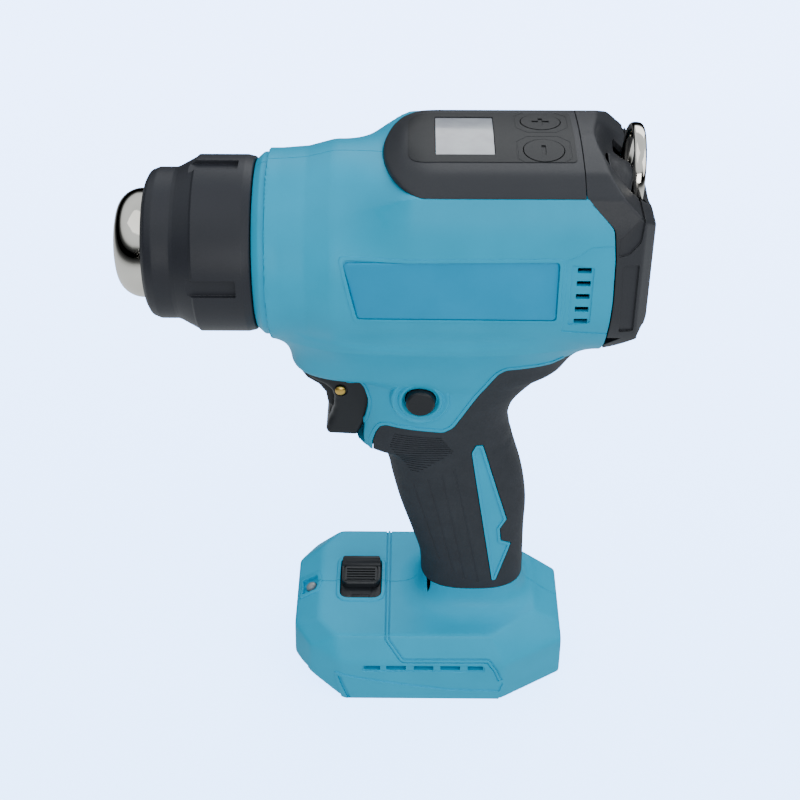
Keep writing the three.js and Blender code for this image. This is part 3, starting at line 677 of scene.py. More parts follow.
def piece(obj, name, body, material, slot, *nodes, angle=32):
    """Names, shades and paints a finished mesh, and hangs it on its CAD body in place of CAD nodes."""
    obj.name = name
    obj.data.name = name
    obj.data.materials.clear()
    obj.data.materials.append(material)
    shade(obj, angle)
    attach(obj, body)
    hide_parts(*nodes)
    return obj


# ---------------------------------------------------------------- the tool's skin
column = oval_column(COLUMN)
nose = oval_column(NOSE, 3.2)
foot = hull_field(FOOT, 0.3)


def barrel_radius(x):
    """The barrel's radius, which swells in two steps from its mouth to the body."""
    stations = [-46, -35.2, -25.5, -16.5, -14.5, 20, 90]
    return np.interp(x, stations, [35.4, 35.5, 36.3, 38.7, 38.9, BARREL_R, BARREL_R])


def section_field(side, z):
    """The body's cross-section: round below, flat flanks, and shoulders that lean in above."""
    flank = (side - HALF_WIDTH) * 0.9941 + (z - 222) * 0.1085
    shoulder = (side - 37.2) * 0.955 + (z - 233) * 0.2967
    upper = smooth_max(smooth_max(side - HALF_WIDTH, flank, 0.8), shoulder, 0.8)
    lower = smooth_max(np.hypot(side, z - AXIS_Z) - BARREL_R, side - HALF_WIDTH, 0.8)
    return np.where(z < AXIS_Z, lower, upper)


def body_field(x, y, z):
    """Round barrel at the front, growing into the body's section behind."""
    side = np.abs(y)
    round_part = np.hypot(y, z - AXIS_Z) - barrel_radius(x)
    squared = np.maximum(section_field(side, z), z - COVER_LOW_Z)
    t = np.clip((x + 13) / 27, 0, 1)
    weight = t * t * (3 - 2 * t)
    ends = np.maximum(-40 - x, x - 88)
    return np.maximum(round_part * (1 - weight) + squared * weight, ends)


def skin_field(x, y, z):
    low_column = np.maximum(column(x, y, z), z - 176)
    low_nose = smooth_max(np.maximum(nose(x, y, z), z - 176), NOSE_LOW_Z - z, 4)
    upper = smooth_min(smooth_min(low_column, low_nose, 5), body_field(x, y, z), 10)
    return smooth_min(np.maximum(upper, 28 - z), foot(x, y, z), 11)


def skin_y(x, z):
    """Half width of the skin at a point of its side view."""
    low, high = 0.0, 60.0
    for _ in range(30):
        middle = (low + high) / 2
        if skin_field(np.array([x]), np.array([middle]), np.array([z]))[0] < 0:
            low = middle
        else:
            high = middle
    return low


skin = contour(skin_field, (-43, -41, -2), (90, 41, 246), 0.9)


def sunk(outlines, depth):
    """A tool that takes depth off the skin inside each outline."""
    tool = gather(*[prism(outline, -50, 50) for outline in outlines])
    return cut(tool, grown(skin, skin_field, -depth))


def raised(outlines, height):
    """Material that stands height proud of the skin inside each outline."""
    tool = gather(*[prism(outline, -50, 50) for outline in outlines])
    return within(grown(skin, skin_field, height), tool)


# ---------------------------------------------------------------- shapes that several pieces share
GRIP_SEAM_RADII = [0, 3, 4, 3, 3, 4, 6, 7, 3, 6, 0]
grip_region = rounded(GRIP_REGION, GRIP_SEAM_RADII + [0] * 4, 5)
arch_path = rounded(TRIGGER_ARCH, 3, 4, closed=False)
arch_region = [(-45, 154.9), (-14, 154.9)] + arch_path[1:] + [(-9.2, 100), (-45, 100)]
HOUSING_SCREWS = [(-25, 161), (36, 152), (64, 163), (24, 104), (27, 62), (68, 8)]
REAR_SCREWS = [(24.5, 196), (-24.5, 196), (24.5, 222), (-24.5, 222)]
SCREW_SEAT_Y = 14.0


def screw_wells():
    return gather(*[bar(3.4, SCREW_SEAT_Y, 45, (x, z), "y", 40) for x, z in HOUSING_SCREWS])


def cover_field(grow=0.0):
    """The black control cover on top: a long low hip roof with a rounded front."""
    low, back, eave_y = 238, 84, 34.4 + grow
    brow = [(7.2, 7), (8.6, 13), (12, 20), (17.4, 24.5)]
    chin = [(2.0, 6, 244.9), (3.0, 12, 244.9), (5.2, 20, 244.8), (9.2, 28 + grow, 244.4)]
    points = [(x - grow, y, COVER_EDGE_Z + grow) for x, y in brow]
    points += [(back, 24.5, COVER_EDGE_Z + grow), (9.4, 6, 249.6 + grow)]
    points += [(x, 12, 250.1 + grow) for x in (14, back)]
    points += [(x, 0, COVER_TOP_Z + grow) for x in (16, back)]
    points += [(x - grow, y, z) for x, y, z in chin]
    points += [(x - grow, y, low) for x, y, z in chin]
    points += [(x, eave_y, z) for z in (COVER_LOW_Z, low) for x in (15, back)]
    return hull_field(mirrored(points), 0.35)


def halves(obj, gap=0.12):
    """The left and right part of a piece, a gap apart."""
    left = within(copy_of(obj), block(-130, 130, -70, -gap, -10, 280))
    right = within(obj, block(-130, 130, gap, 70, -10, 280))
    return left, right


def side_pieces(obj, name, material, slot, node, wells=False):
    """The left and right pieces of one moulding; the screws go in from the right."""
    left, right = halves(obj)
    if wells:
        cut(right, screw_wells())
    for side, half in (("left", left), ("right", right)):
        piece(half, f"{side}_{name}", "tool", material, slot, f"{side}_{node}")


# ---------------------------------------------------------------- blue housing
PANEL_OUTLINE = [(-11.5, 219.6), (-6.7, 196.6), (64.2, 196.2), (64.2, 220.4)]
FOOT_SLOTS = [(-7.1, 0), (2.6, 10.9), (14.4, 22.7), (25.7, 34), (37.3, 44)]
FOOT_SLOT_Z = 18.1
SWITCH = (-18.2, 0.1, -11.2, 14.6)


def panel_outline(grow):
    return rounded(offset(PANEL_OUTLINE, -grow), 1.6, 3)


def front_ring():
    """The two turned rings at the barrel's mouth."""
    profile = rounded([
        (-44.7, 20.9), (-44.7, 31.5), (-42, 34), (-38.7, 34), (-38.1, 33.1), (-36.1, 33.1),
        (-35.3, 35.5), (-30, 35.6), (-30, 20.9),
    ], [0, 0.8, 1.6, 0.5, 0.2, 0.3, 0.8, 0, 0], 4)
    return lathe(profile, (0, AXIS_Z), "x", 160)


def rooms():
    """Hollows inside the shells, none of them seen except through slots and gaps."""
    ring = lathe([
        (-40.5, 20.5), (-40.5, 30.5), (-30, 32.8), (-18, 35.4), (20, 36), (20, 0), (-32, 0), (-32, 20.5),
    ], (0, AXIS_Z), "x", 48)
    half = [(0, 169), (12, 171), (22, 176), (30, 184), (34.5, 193), (35.8, 199), (35.8, 222), (34.4, 232),
            (31.5, 240.6), (0, 240.6)]
    section = half + [(-y, z) for y, z in half[::-1] if y > 0]
    body = within(prism(section, 14, 90, "x"), prism(
        [(0, 150), (79, 150), (79, 183.6), (95, 183.6), (95, 260), (0, 260)], -BEYOND, BEYOND))
    throat = prism([
        (21, 20), (55, 20), (54, 88), (48, 110), (44, 128), (50, 142), (56, 157), (56, 172), (-18, 172),
        (-18, 162), (-6, 159), (9.5, 155), (9.5, 117), (13, 90), (18.5, 66),
    ], -12.6, 12.6)
    return [ring, body, throat]


def foot_tools():
    """Everything taken out of the battery foot."""
    room = contour(hull_field(mirrored([
        (-25, 22, 30), (-17, 30.5, 30), (45, 30.5, 30), (63, 16, 30), (-33.5, 18, 25), (-33.5, 20, 15),
        (-17, 34, 20), (-17, 34, 15), (52, 34, 15), (52, 34, 20), (74, 18, 15), (74, 18, 22),
    ]), 0.3), (-36, -36, 12), (76, 36, 32), 3.0)
    bay = join(block(-45, 50, -27, 27, -5, 12), block(-45, 50, -31, 31, 5.5, 12))
    opening = prism(rounded(rectangle(*SWITCH), 4.2, 6), 28, 36.5, "z")
    slots = []
    for i, (a, b) in enumerate(FOOT_SLOTS):
        ends = [1.15 if i == 0 else 0.2, 1.15 if i == len(FOOT_SLOTS) - 1 else 0.2]
        outline = rounded(
            rectangle(a, b, FOOT_SLOT_Z - 1.2, FOOT_SLOT_Z + 1.2), [ends[0], ends[1], ends[1], ends[0]], 4)
        slots += [prism(outline, 34.6, 45), prism(outline, -45, -34.6)]
    return [room, bay, opening, gather(*slots)]


# Lines on the foot's side: the double groove, and the plate with its curved top along the bottom.
FOOT_LINE = [(3.4, 40), (3.4, 31.5), (9.8, 22.6), (46.4, 22.6), (49.6, 17.5), (51.8, 11.4)]
FOOT_PLATE = [
    (-19.7, 15.4), (-16.4, -2), (50.6, -2), (53, 10.6), (51.2, 5.0), (29.2, 5.7), (8.5, 9.0), (-8, 12.2),
]


def foot_line():
    return rounded(FOOT_LINE, [0, 1, 2, 2.5, 3, 0], 4, closed=False)


def foot_grooves():
    """The double groove across the foot's top and down its sides, the slots' track and the plate's border."""
    line = foot_line()
    a, b = FOOT_SLOTS[0][0] - 0.7, FOOT_SLOTS[-1][1] + 0.7
    track = rounded(rectangle(a, b, FOOT_SLOT_Z - 1.8, FOOT_SLOT_Z + 1.8), 1.7, 5)
    border = [(-18.4, 13.6), (-14.4, 0.9), (-12.8, 0.9), (-16.6, 13.2)]
    return [
        sunk([band(line, -1.5, -0.8)], 0.5), sunk([band(line, 0.0, 0.7)], 0.5), sunk([track], 0.4),
        sunk([border], 0.3),
    ]


def foot_ridges():
    """What stands proud of the foot's sides: the ridge between the two grooves, and the plate."""
    return [raised([band(foot_line(), -0.8, 0.0)], 0.25), raised([rounded(FOOT_PLATE, 0.6, 2)], 0.55)]


def lamp_turn():
    """Turns a shape made round +Z, base at the origin, onto the foot's front chamfer."""
    return Matrix.Translation(Vector((-31.5, 0, 30.2)) * MM) @ Matrix.Rotation(math.radians(-29.5), 4, "Y")


def lamp_bezel():
    rim = rounded([(-5.2, -6.4), (4.9, -6.4), (6.2, 0), (4.9, 6.4), (-5.2, 6.4), (-4.2, 0)], 1.2, 4)
    return transformed(bevelled(prism(rim, -2, 0.55, "z"), 0.35, 2), lamp_turn())


def lamp_recess():
    inner = rounded([(-4.0, -4.6), (3.6, -4.6), (4.6, 0), (3.6, 4.6), (-4.0, 4.6), (-3.2, 0)], 1.0, 4)
    return transformed(prism(inner, -1.2, 3, "z"), lamp_turn())


def lamp_way():
    return transformed(bar(2.6, -8, 2, (0, 0), "z", 32), lamp_turn())


def switch_rim():
    """The low rim round the slide switch's pocket."""
    outer = rounded(rectangle(*SWITCH, 1.6), 5.8, 6)
    return bevelled(prism(outer, 30, FOOT_TOP_Z + 0.7, "z"), 0.6, 3)


def button_boss():
    """Two stepped rings round the lock button, on the left side only."""
    face = skin_y(LOCK_X, LOCK_Z)
    profile = rounded([
        (-10, 7.6), (-10, 11.9), (-face + 1.2, 12.0), (-face - 0.7, 11.2), (-face - 1.0, 10.6),
        (-face - 0.5, 9.6), (-face - 0.3, 9.0), (-face - 1.7, 8.1), (-face - 1.7, 7.3), (-face - 0.2, 6.4),
        (-17, 6.2), (-17, 7.3),
    ], [0, 0, 0.3, 0.9, 0.7, 0.5, 0.3, 0.8, 0.7, 0.4, 0, 0], 4)
    return lathe(profile, (LOCK_X, LOCK_Z), "y", 96)


VENT_SLOTS = (70.8, 75.7, 217, 5.4, 5)  # front, back, highest slot's middle, pitch, count


def behind_the_seam():
    """Everything behind the line where the housing meets the rear cover."""
    outline = [(82, -10), (82, 160)] + REAR_SEAM[::-1][1:] + [(73.2, 252), (200, 252), (200, -10)]
    behind = prism(rounded(outline, [0, 0, 6, 6, 4, 5, 0, 0, 0, 0], 4), -BEYOND, BEYOND)
    return within(behind, block(0, 210, -BEYOND, BEYOND, 90, 260))


def grip_core():
    """The housing's own wall under the rubber grips."""
    core = contour(
        lambda x, y, z: np.maximum(skin_field(x, y, z) + GRIP_WALL + SEAM, np.maximum(38 - z, z - 168)),
        (-14, -30, 36), (84, 30, 170), 1.6)
    return within(core, prism(offset(grip_region, 1.2), -BEYOND, BEYOND))


def vent_slots():
    front, back, top, pitch, count = VENT_SLOTS
    outlines = [
        rounded(rectangle(front, back, z - 1.1, z + 1.1), 0.25, 2)
        for z in (top - pitch * i for i in range(count))
    ]
    return gather(*[prism(outline, -45, 45) for outline in outlines])


def housing():
    shell = copy_of(skin)
    cut(shell, prism(offset(grip_region, SEAM / 2), -BEYOND, BEYOND))
    join(shell, front_ring())
    cut(shell, behind_the_seam())
    lip = band(rounded(GRIP_SEAM, GRIP_SEAM_RADII, 5, closed=False), SEAM / 2, 1.5)
    join(shell, raised([lip], 0.32))
    rim = cut(raised([panel_outline(1.5)], 0.3), prism(panel_outline(0.3), -BEYOND, BEYOND))
    join(shell, rim)
    join(shell, raised([band(arch_path, 0.0, 1.2)], 0.28))
    join(shell, switch_rim(), lamp_bezel(), button_boss(), *foot_ridges())
    join(shell, grip_core())
    cut(shell, *rooms())
    cut(shell, *foot_tools())
    cut(shell, prism(arch_region, -40, 40), prism(TRIGGER_POCKET, -11.5, 11.5))
    panels = gather(prism(panel_outline(0.3), 37.2, 45), prism(panel_outline(0.3), -45, -37.2))
    cut(shell, panels)
    flank = rounded([(66.8, 221.6), (70, 222.6), (75.2, 226.6), (90, 227.4), (90, 188), (66.8, 190)], 0.8, 2)
    frame_low = rounded([(68.7, 219.4), (76.6, 218.4), (76.6, 194.6), (68.7, 193.6)], 0.8, 2)
    cut(shell, sunk([flank], 0.3), sunk([frame_low], 0.75))
    cut(shell, vent_slots(), *foot_grooves())
    cut(shell, lamp_recess(), lamp_way())
    cut(shell, contour(cover_field(SEAM), (-2, -37, COVER_LOW_Z - 0.7), (90, 37, 253), 1.0))
    for radius, low, high in ((7.1, -17, -8), (6.1, -30, -16)):
        cut(shell, bar(radius, low, high, (LOCK_X, LOCK_Z), "y", 64))
    side_pieces(shell, "housing_shell", TEAL, "blue_housing", "housing", wells=True)


def side_panels():
    for name, way in (("left_side_panel", -1), ("right_side_panel", 1)):
        low, high = sorted((way * 37.3, way * 38.0))
        plate = bevelled(prism(panel_outline(0), low, high), 0.25, 2)
        piece(plate, name + "_plate", "tool", PANEL, "blue_panel", name)


# ---------------------------------------------------------------- rubber grips
BOLT = [
    (38.4, 123), (41.2, 122.6), (52.3, 82.6), (49.6, 78.2), (50.3, 71.2), (54.6, 68.2), (48.8, 49.8),
    (47.3, 49.8), (36.9, 119.5),
]
GRIP_LINES = [
    [(14.1, 101.5), (24.8, 60.3)], [(19.6, 105.6), (30.7, 54.4)], [(25.1, 108.2), (35.5, 50.6)],
    [(30, 111.5), (41.4, 48.6)],
]
HATCH_RIBS = 18
HATCH = [(6.1, 130), (24.4, 128.6), (29.6, 120.8), (13.6, 107.4), (4.1, 122.7)]


def hatch_lines():
    """Fine ribs that fill the patch at the top of the grip, sloping down towards the back."""
    front_top, back_top, back_corner, tip, front_corner = (Vector(point) for point in HATCH)

    def along(top, corner, bend, t):
        """The point a share t of the way down one side of the patch, which turns at bend."""
        if t > bend:
            return corner.lerp(tip, (t - bend) / (1 - bend))
        return top.lerp(corner, t / bend)

    lines = []
    for i in range(HATCH_RIBS):
        t = (i + 0.5) / HATCH_RIBS
        left = along(front_top, front_corner, 0.35, t)
        right = along(back_top, back_corner, 0.45, t)
        if (right - left).length > 2:
            lines.append(band([tuple(left), tuple(right)], -0.24, 0.24))
    return lines


def grips():
    shell = within(copy_of(skin), prism(offset(grip_region, -SEAM / 2), -BEYOND, BEYOND))
    inner = contour(
        lambda x, y, z: np.maximum(skin_field(x, y, z) + GRIP_WALL, np.maximum(30 - z, z - 175)),
        (-14, -34, 28), (90, 34, 177), 1.6)
    cut(shell, inner)
    cut(shell, prism(arch_region, -40, 40), prism(TRIGGER_POCKET, -11.5, 11.5))
    lines = [band(rounded(path, 0, 2, closed=False), -0.45, 0.45) for path in GRIP_LINES]
    cut(shell, sunk(lines, 0.16), sunk(hatch_lines(), 0.35))
    cut(shell, sunk([rounded(offset(BOLT, SEAM), 0.5, 2)], 1.4))
    cut(shell, bar(11.9, -40, -8, (LOCK_X, LOCK_Z), "y", 64))
    side_pieces(shell, "grip_rubber", RUBBER, "grip_rubber", "grip", wells=True)


def inlays():
    """Blue lightning bolts set in the grips, each with a raised border."""
    flat = cut(raised([rounded(BOLT, 0.5, 2)], -0.15), grown(skin, skin_field, -1.3))
    border = cut(raised([rounded(BOLT, 0.5, 2)], 0.3), grown(skin, skin_field, -0.4))
    cut(border, prism(rounded(offset(BOLT, -1.1), 0.3, 2), -40, 40))
    side_pieces(join(flat, border), "inlay_bolt", INLAY, "blue_housing", "grip_inlay")


# ---------------------------------------------------------------- black control cover
LENS = (20.6, 41.8, -13.9, 15.8)


def key_surround(side):
    """The eight-sided outline pressed into the keypad round each key."""
    far, near = 9.4, 5.4
    corners = [
        (far, near), (near, far), (-near, far), (-far, near),
        (-far, -near), (-near, -far), (near, -far), (far, -near),
    ]
    return [(KEY_X + x, side * KEY_Y + y) for x, y in corners]


def control_cover():
    field = cover_field()
    body = contour(field, (0, -36, 238), (86, 36, 253), 0.7, name="cover")
    cut(body, block(-10, 100, -BEYOND, BEYOND, 220, COVER_LOW_Z))
    cut(body, block(COVER_BACK_X, 120, -BEYOND, BEYOND, 200, 270))
    sheet_low = grown(body, field, 0.02)
    outline = rounded(rectangle(11, 70.2, -18.4, 20.4), [8, 2, 2, 8], 8)
    sheet = within(grown(body, field, 0.2), prism(outline, 246, 253, "z"))
    cut(sheet, sheet_low)
    for side in (-1, 1):
        ring = key_surround(side)
        groove = cut(prism(offset(ring, -0.25), 240, 255, "z"), prism(offset(ring, 0.25), 230, 260, "z"))
        cut(sheet, cut(groove, grown(body, field, 0.12)))
    openings = [prism(rounded(rectangle(*LENS), 0.6, 3), 244, 256, "z")]
    openings += [bar(KEY_R + 0.25, 244, 256, (KEY_X, side * KEY_Y), "z", 72) for side in (-1, 1)]
    openings = gather(*openings)
    cut(sheet, copy_of(openings))
    window_outline = rounded(rectangle(*LENS, -0.25), 0.5, 3)
    window = within(grown(body, field, -0.25), prism(window_outline, 246.6, 256, "z"))
    keys = {}
    for name, side in (("plus", 1), ("minus", -1)):
        y = side * KEY_Y
        key = within(grown(body, field, 0.34), bar(KEY_R - 0.1, 245.8, 256, (KEY_X, y), "z", 72))
        long, wide = 3.1, 0.75
        sign = block(KEY_X - wide, KEY_X + wide, y - long, y + long, 240, 256)
        if name == "plus":
            join(sign, block(KEY_X - long, KEY_X + long, y - wide, y + wide, 240, 256))
        keys[name] = cut(key, cut(sign, grown(body, field, -0.1)))
    inside = contour(hull_field(mirrored([
        (20.4, 18, 246.1), (70, 22.3, 246.1), (24, 0, 248.5), (70, 0, 248.5), (8, 5, 243.9), (13, 25, 243.9),
        (18, 31, 243.9), (70, 31, 243.9), (8, 5, 238), (13, 25, 238), (18, 31, 238), (70, 31, 238),
    ]), 0.3), (4, -34, 235), (74, 34, 251), 1.6)
    cut(body, openings, inside)
    piece(body, "control_cover_shell", "tool", BLACK, "black_plastic", "control_cover")
    piece(sheet, "keypad_sheet", "tool", MEMBRANE, "black_plastic")
    piece(window, "display_window", "tool", GLASS, "display", "display_lens")
    for name, key in keys.items():
        piece(key, name + "_key_cap", name, MEMBRANE, "black_plastic", name + "_key")


# ---------------------------------------------------------------- black rear cover
def rear_field(x, y, z):
    """Outside of the rear cover: the body's section, closed by planes, with a dish round the ring's hub."""
    side = np.abs(y)
    eave = (side - 34) * 0.4657 + (z - COVER_LOW_Z) * 0.8849
    roof = (side - 24.5) * 0.1425 + (z - COVER_EDGE_Z) * 0.9898
    crown = (side - 12) * 0.05 + (z - 250.1) * 0.9987
    shape = smooth_max(section_field(side, z), smooth_max(smooth_max(eave, roof, 0.5), crown, 0.5), 0.8)
    slope = (x + z - 329.2) / math.sqrt(2)
    back = smooth_max(x - HALF_LENGTH, (side - 36) * 0.557 + (x - 93.5) * 0.830, 0.8)
    corner = (side - HALF_WIDTH) * 0.952 + (x - 86) * 0.305
    heel = smooth_max(
        (x - HALF_LENGTH) * 0.912 - (z - 192) * 0.410, (x - 95.5) * 0.655 - (z - 186) * 0.756, 0.8)
    shape = smooth_max(smooth_max(shape, corner, 0.7), smooth_max(back, slope, 0.7), 0.7)
    shape = smooth_max(shape, heel, 0.8)
    up_slope = (z - 239.8 - x + 89.4) / math.sqrt(2)
    dish = (np.sqrt(((slope - 2.2) / 6.4) ** 2 + ((up_slope + 0.5) / 17.5) ** 2 + (y / 22.5) ** 2) - 1) * 6
    hub = (np.sqrt(((slope + 6) / 6.6) ** 2 + ((up_slope + 6) / 9.5) ** 2 + (y / 11.2) ** 2) - 1) * 7
    return np.maximum(smooth_max(shape, -smooth_max(dish, -hub, 2.5), 0.8), 70 - x)


GRILLE = (191.5, 5.2, 6)  # lowest slot's lower edge, pitch, count


def before_the_seam():
    """Everything in front of the line where the rear cover meets the housing."""
    outline = [(40, 262), (COVER_BACK_X + SEAM, 262), (COVER_BACK_X + SEAM, COVER_LOW_Z)]
    outline += [(x + SEAM + 0.15, z) for x, z in REAR_SEAM[1:5]]
    outline += [(83.7, 172), (40, 172)]
    return prism(rounded(outline, [0, 0, 4, 5, 4, 0, 0, 0, 0], 4), -BEYOND, BEYOND)


def rear_room():
    """The hollow inside the rear cover: its side view, plan and back view, crossed."""
    side_view = [
        (50, 245.0), (79.0, 245.0), (95.0, 229.0), (95.0, 194), (92.4, 189.4), (86.6, 184), (82, 179),
        (50, 179),
    ]
    plan = [(60, -35.2), (85, -35.2), (91.3, -33.2), (95.2, -27.4)]
    plan += [(x, -y) for x, y in plan[::-1]]
    right = [(35, 170), (35, 222), (33.6, 233), (30.6, 242), (20, 245.4)]
    back_view = [(-35, 170)] + right + [(-y, z) for y, z in right[:0:-1]]
    room = within(prism(side_view, -34, 34), prism(plan, 150, 262, "z"))
    return within(room, prism(back_view, 40, 110, "x"))


def rear_grille():
    low, pitch, count = GRILLE
    outlines = [
        rounded(rectangle(-17, 17, z, z + 3), 1.2, 4)
        for z in (low + pitch * i for i in range(count))
    ]
    return gather(*[prism(outline, 94, 100, "x") for outline in outlines])


def side_reliefs(lowered):
    """The shallow panel and wing pressed into each side of the rear cover."""
    panel = rounded([(86.4, 219.2), (92.6, 218.6), (92.6, 190.6), (87.4, 189.8)], 0.9, 3)
    wing = rounded([(84.6, 229.5), (92.4, 237.6), (93.2, 236.4), (92.4, 227.6), (88.6, 223.4), (84.6, 222.6)],
                   [1, 0.6, 1.2, 3, 3, 0.6], 4)
    return cut(gather(prism(panel, -BEYOND, BEYOND), prism(wing, -BEYOND, BEYOND)), lowered)


def heel_notches():
    """The steps at the two lower corners of the back."""
    outline = [(94.3, 160), (94.5, 187.6), (96.3, 190.4), (110, 190.4), (110, 160)]
    notch = prism(rounded(outline, [0, 1.2, 0.8, 0, 0], 4), -BEYOND, BEYOND)
    corners = gather(*[block(80, 120, *sorted((side * 25.5, side * BEYOND)), 150, 200) for side in (1, -1)])
    return within(notch, corners)


def rear_cover():
    body = contour(rear_field, (68, -41, 160), (100, 41, 253), 0.7, name="rear")
    lowered = grown(body, rear_field, -0.7)
    cut(body, before_the_seam(), block(60, 120, -BEYOND, BEYOND, 150, 174.5))
    boss = within(grown(body, rear_field, 0.0), block(84.4, 97.6, -10.9, 10.9, 223.4, 250))
    cut(body, rear_room())
    join(body, boss)
    posts = [bar(3.4, 63.3, 96.5, (y, z), "x", 32) for y, z in REAR_SCREWS]
    join(body, *[within(post, block(75, 97, -BEYOND, BEYOND, 150, 260)) for post in posts])
    swing = rounded([(88.4, 224), (95.8, 224), (96.4, 240), (86.2, 240), (87, 232)], 0.6, 3)
    slots = gather(*[prism(swing, *sorted((way * 11.3, way * 17.8))) for way in (-1, 1)])
    cut(body, slots, bar(1.8, -18, 18, (RING_X, RING_Z), "y", 32))
    for radius, low, segments in ((1.8, 50, 24), (3.4, 94.5, 40)):
        cut(body, gather(*[bar(radius, low, 100, (y, z), "x", segments) for y, z in REAR_SCREWS]))
    cut(body, rear_grille(), side_reliefs(lowered), heel_notches())
    piece(body, "rear_cover_shell", "tool", BLACK, "black_plastic", "rear_cover")


# ---------------------------------------------------------------- collar and nozzle
def front_collar():
    profile = rounded([
        (-85.5, 21.2), (-85.5, 24.4), (-84.0, 27.1), (-81.0, 28.3), (-79.0, 28.3), (-74.6, 28.3),
        (-73.2, 28.8), (-66.9, 32.2), (-66.1, 33.0), (-48.2, 33.0), (-45.2, 32.3), (-45.0, 29.8),
        (-64, 29.8), (-71, 26), (-80, 25), (-82, 21.2),
    ], [0.3, 2.0, 2.6, 2.4, 0, 1.2, 1.2, 0.4, 0.5, 1.6, 0.6, 0, 0, 0, 0, 0.3], 5)
    ring = lathe(profile, (0, AXIS_Z), "x", 192, "collar")
    pocket_outline = rounded(rectangle(-72.6, -50.6, -3.5, 3.5), 0.8, 3)
    pockets = []
    for turn in (0, 90, 180, 270):
        pocket = prism(pocket_outline, 31.2, 40, "z")
        onto_ring = Matrix.Translation((0, 0, AXIS_Z * MM)) @ Matrix.Rotation(math.radians(turn), 4, "X")
        pockets.append(transformed(pocket, onto_ring))
    cut(ring, gather(*pockets))
    piece(ring, "front_collar_ring", "tool", COLLAR, "black_plastic", "front_collar", angle=28)


def nozzle():
    outer = [(-87.6 + 9.6 * math.cos(math.radians(a)), 11.6 + 8.9 * math.sin(math.radians(a)))
             for a in range(90, 176, 6)]
    profile = [(-26, 20.5), (-86, 20.5)] + outer[1:] + [(-97.4, 11.7), (-97.1, 11.4), (-96.6, 11.5)]
    inner = [(x + 0.75, r - 0.5) for x, r in outer[::-1][:-1]] + [(-86, 19.8), (-26, 19.8)]
    tube = lathe(profile + inner, (0, AXIS_Z), "x", 160, "nozzle")
    piece(tube, "nozzle_tube", "tool", CHROME, "chrome", "nozzle", angle=40)


# ---------------------------------------------------------------- hang ring
def hang_ring():
    half_chord = math.sqrt(RING_R ** 2 - RING_CENTRE_UP ** 2)
    low = math.degrees(math.asin(RING_CENTRE_UP / RING_R))
    loop = arc((0, RING_CENTRE_UP), RING_R, -low + 5, 180 + low - 5, 72)
    straight = [(half_chord * t / 4, 0) for t in range(-4, 5)]
    path = rounded(loop + straight, [0] * len(loop) + [1.6] + [0] * 7 + [1.6], 4)
    sides = 20
    points, faces = [], []
    for i, here in enumerate(path):
        before, after = Vector(path[i - 1]), Vector(path[(i + 1) % len(path)])
        along = (after - before).normalized()
        across = Vector((along.y, -along.x))
        wide = 1.5 + 0.8 * min(1.0, max(0.0, (here[1] - 0.5) / 3))
        for k in range(sides):
            angle = 2 * math.pi * k / sides
            c, s = math.cos(angle), math.sin(angle)
            out = 1.5 * math.copysign(abs(c) ** 0.8, c)
            side = wide * math.copysign(abs(s) ** 0.8, s)
            points.append((side, here[0] + across.x * out, here[1] + across.y * out))
    for i in range(len(path)):
        here, there = i * sides, ((i + 1) % len(path)) * sides
        for k in range(sides):
            k2 = (k + 1) % sides
            faces.append((here + k, here + k2, there + k2, there + k))
    ring = facing_out(mesh_object("ring", points, faces))
    lean = Matrix.Translation(Vector((RING_X, 0, RING_Z)) * MM) @ Matrix.Rotation(RING_LEAN, 4, "Y")
    piece(transformed(ring, lean), "hang_ring_loop", "ring", CHROME, "chrome", "hang_ring", angle=60)


# ---------------------------------------------------------------- trigger, safety lever and lock button
def outline_field(points):
    """Signed distance to an outline in the side view."""
    corners = [np.array(p, float) for p in points]

    def field(u, v):
        nearest = None
        inside = np.zeros(np.broadcast(u, v).shape, bool)
        for a, b in zip(corners, corners[1:] + corners[:1]):
            edge = b - a
            t = np.clip(((u - a[0]) * edge[0] + (v - a[1]) * edge[1]) / (edge @ edge), 0, 1)
            far = np.hypot(u - a[0] - t * edge[0], v - a[1] - t * edge[1])
            nearest = far if nearest is None else np.minimum(nearest, far)
            crosses = (a[1] > v) != (b[1] > v)
            span = edge[1] if edge[1] else 1e-9
            inside ^= crosses & (u < a[0] + (v - a[1]) * edge[0] / span)
        return np.where(inside, -nearest, nearest)

    return field


def slab(outline, half, softness, step, name):
    """An outline in the side view, to a half width, with its rims rounded over."""
    shape = outline_field(outline)
    xs, zs = zip(*outline)
    low = (min(xs) - 1, -half - 1, min(zs) - 1)
    high = (max(xs) + 1, half + 1, max(zs) + 1)

    def field(x, y, z):
        return smooth_max(shape(x, z), np.abs(y) - half, softness)

    return contour(field, low, high, step, name)


TRIGGER = [
    (-27.2, 153.6), (-27.5, 150.6), (-24.3, 148.5), (-21.1, 146.7), (-18.7, 144.2), (-17.8, 141),
    (-18, 136), (-19, 132), (-20.6, 128), (-21.5, 124.6), (-20.6, 122.7), (-8.8, 122), (-5, 130),
    (-1.6, 138), (-1.6, 149), (-4.8, 152.2), (-9.6, 153.6), (-14, 153.8),
]
LEVER = [
    (-30.2, 153.2), (-30.7, 149.8), (-28.6, 146.4), (-24, 143.2), (-21.4, 139.4), (-20.6, 134),
    (-18.2, 131.4), (-16.8, 134), (-15.6, 139), (-12.4, 142.4), (-11.2, 145), (-12.4, 148.4),
    (-17, 150), (-22, 153.2),
]


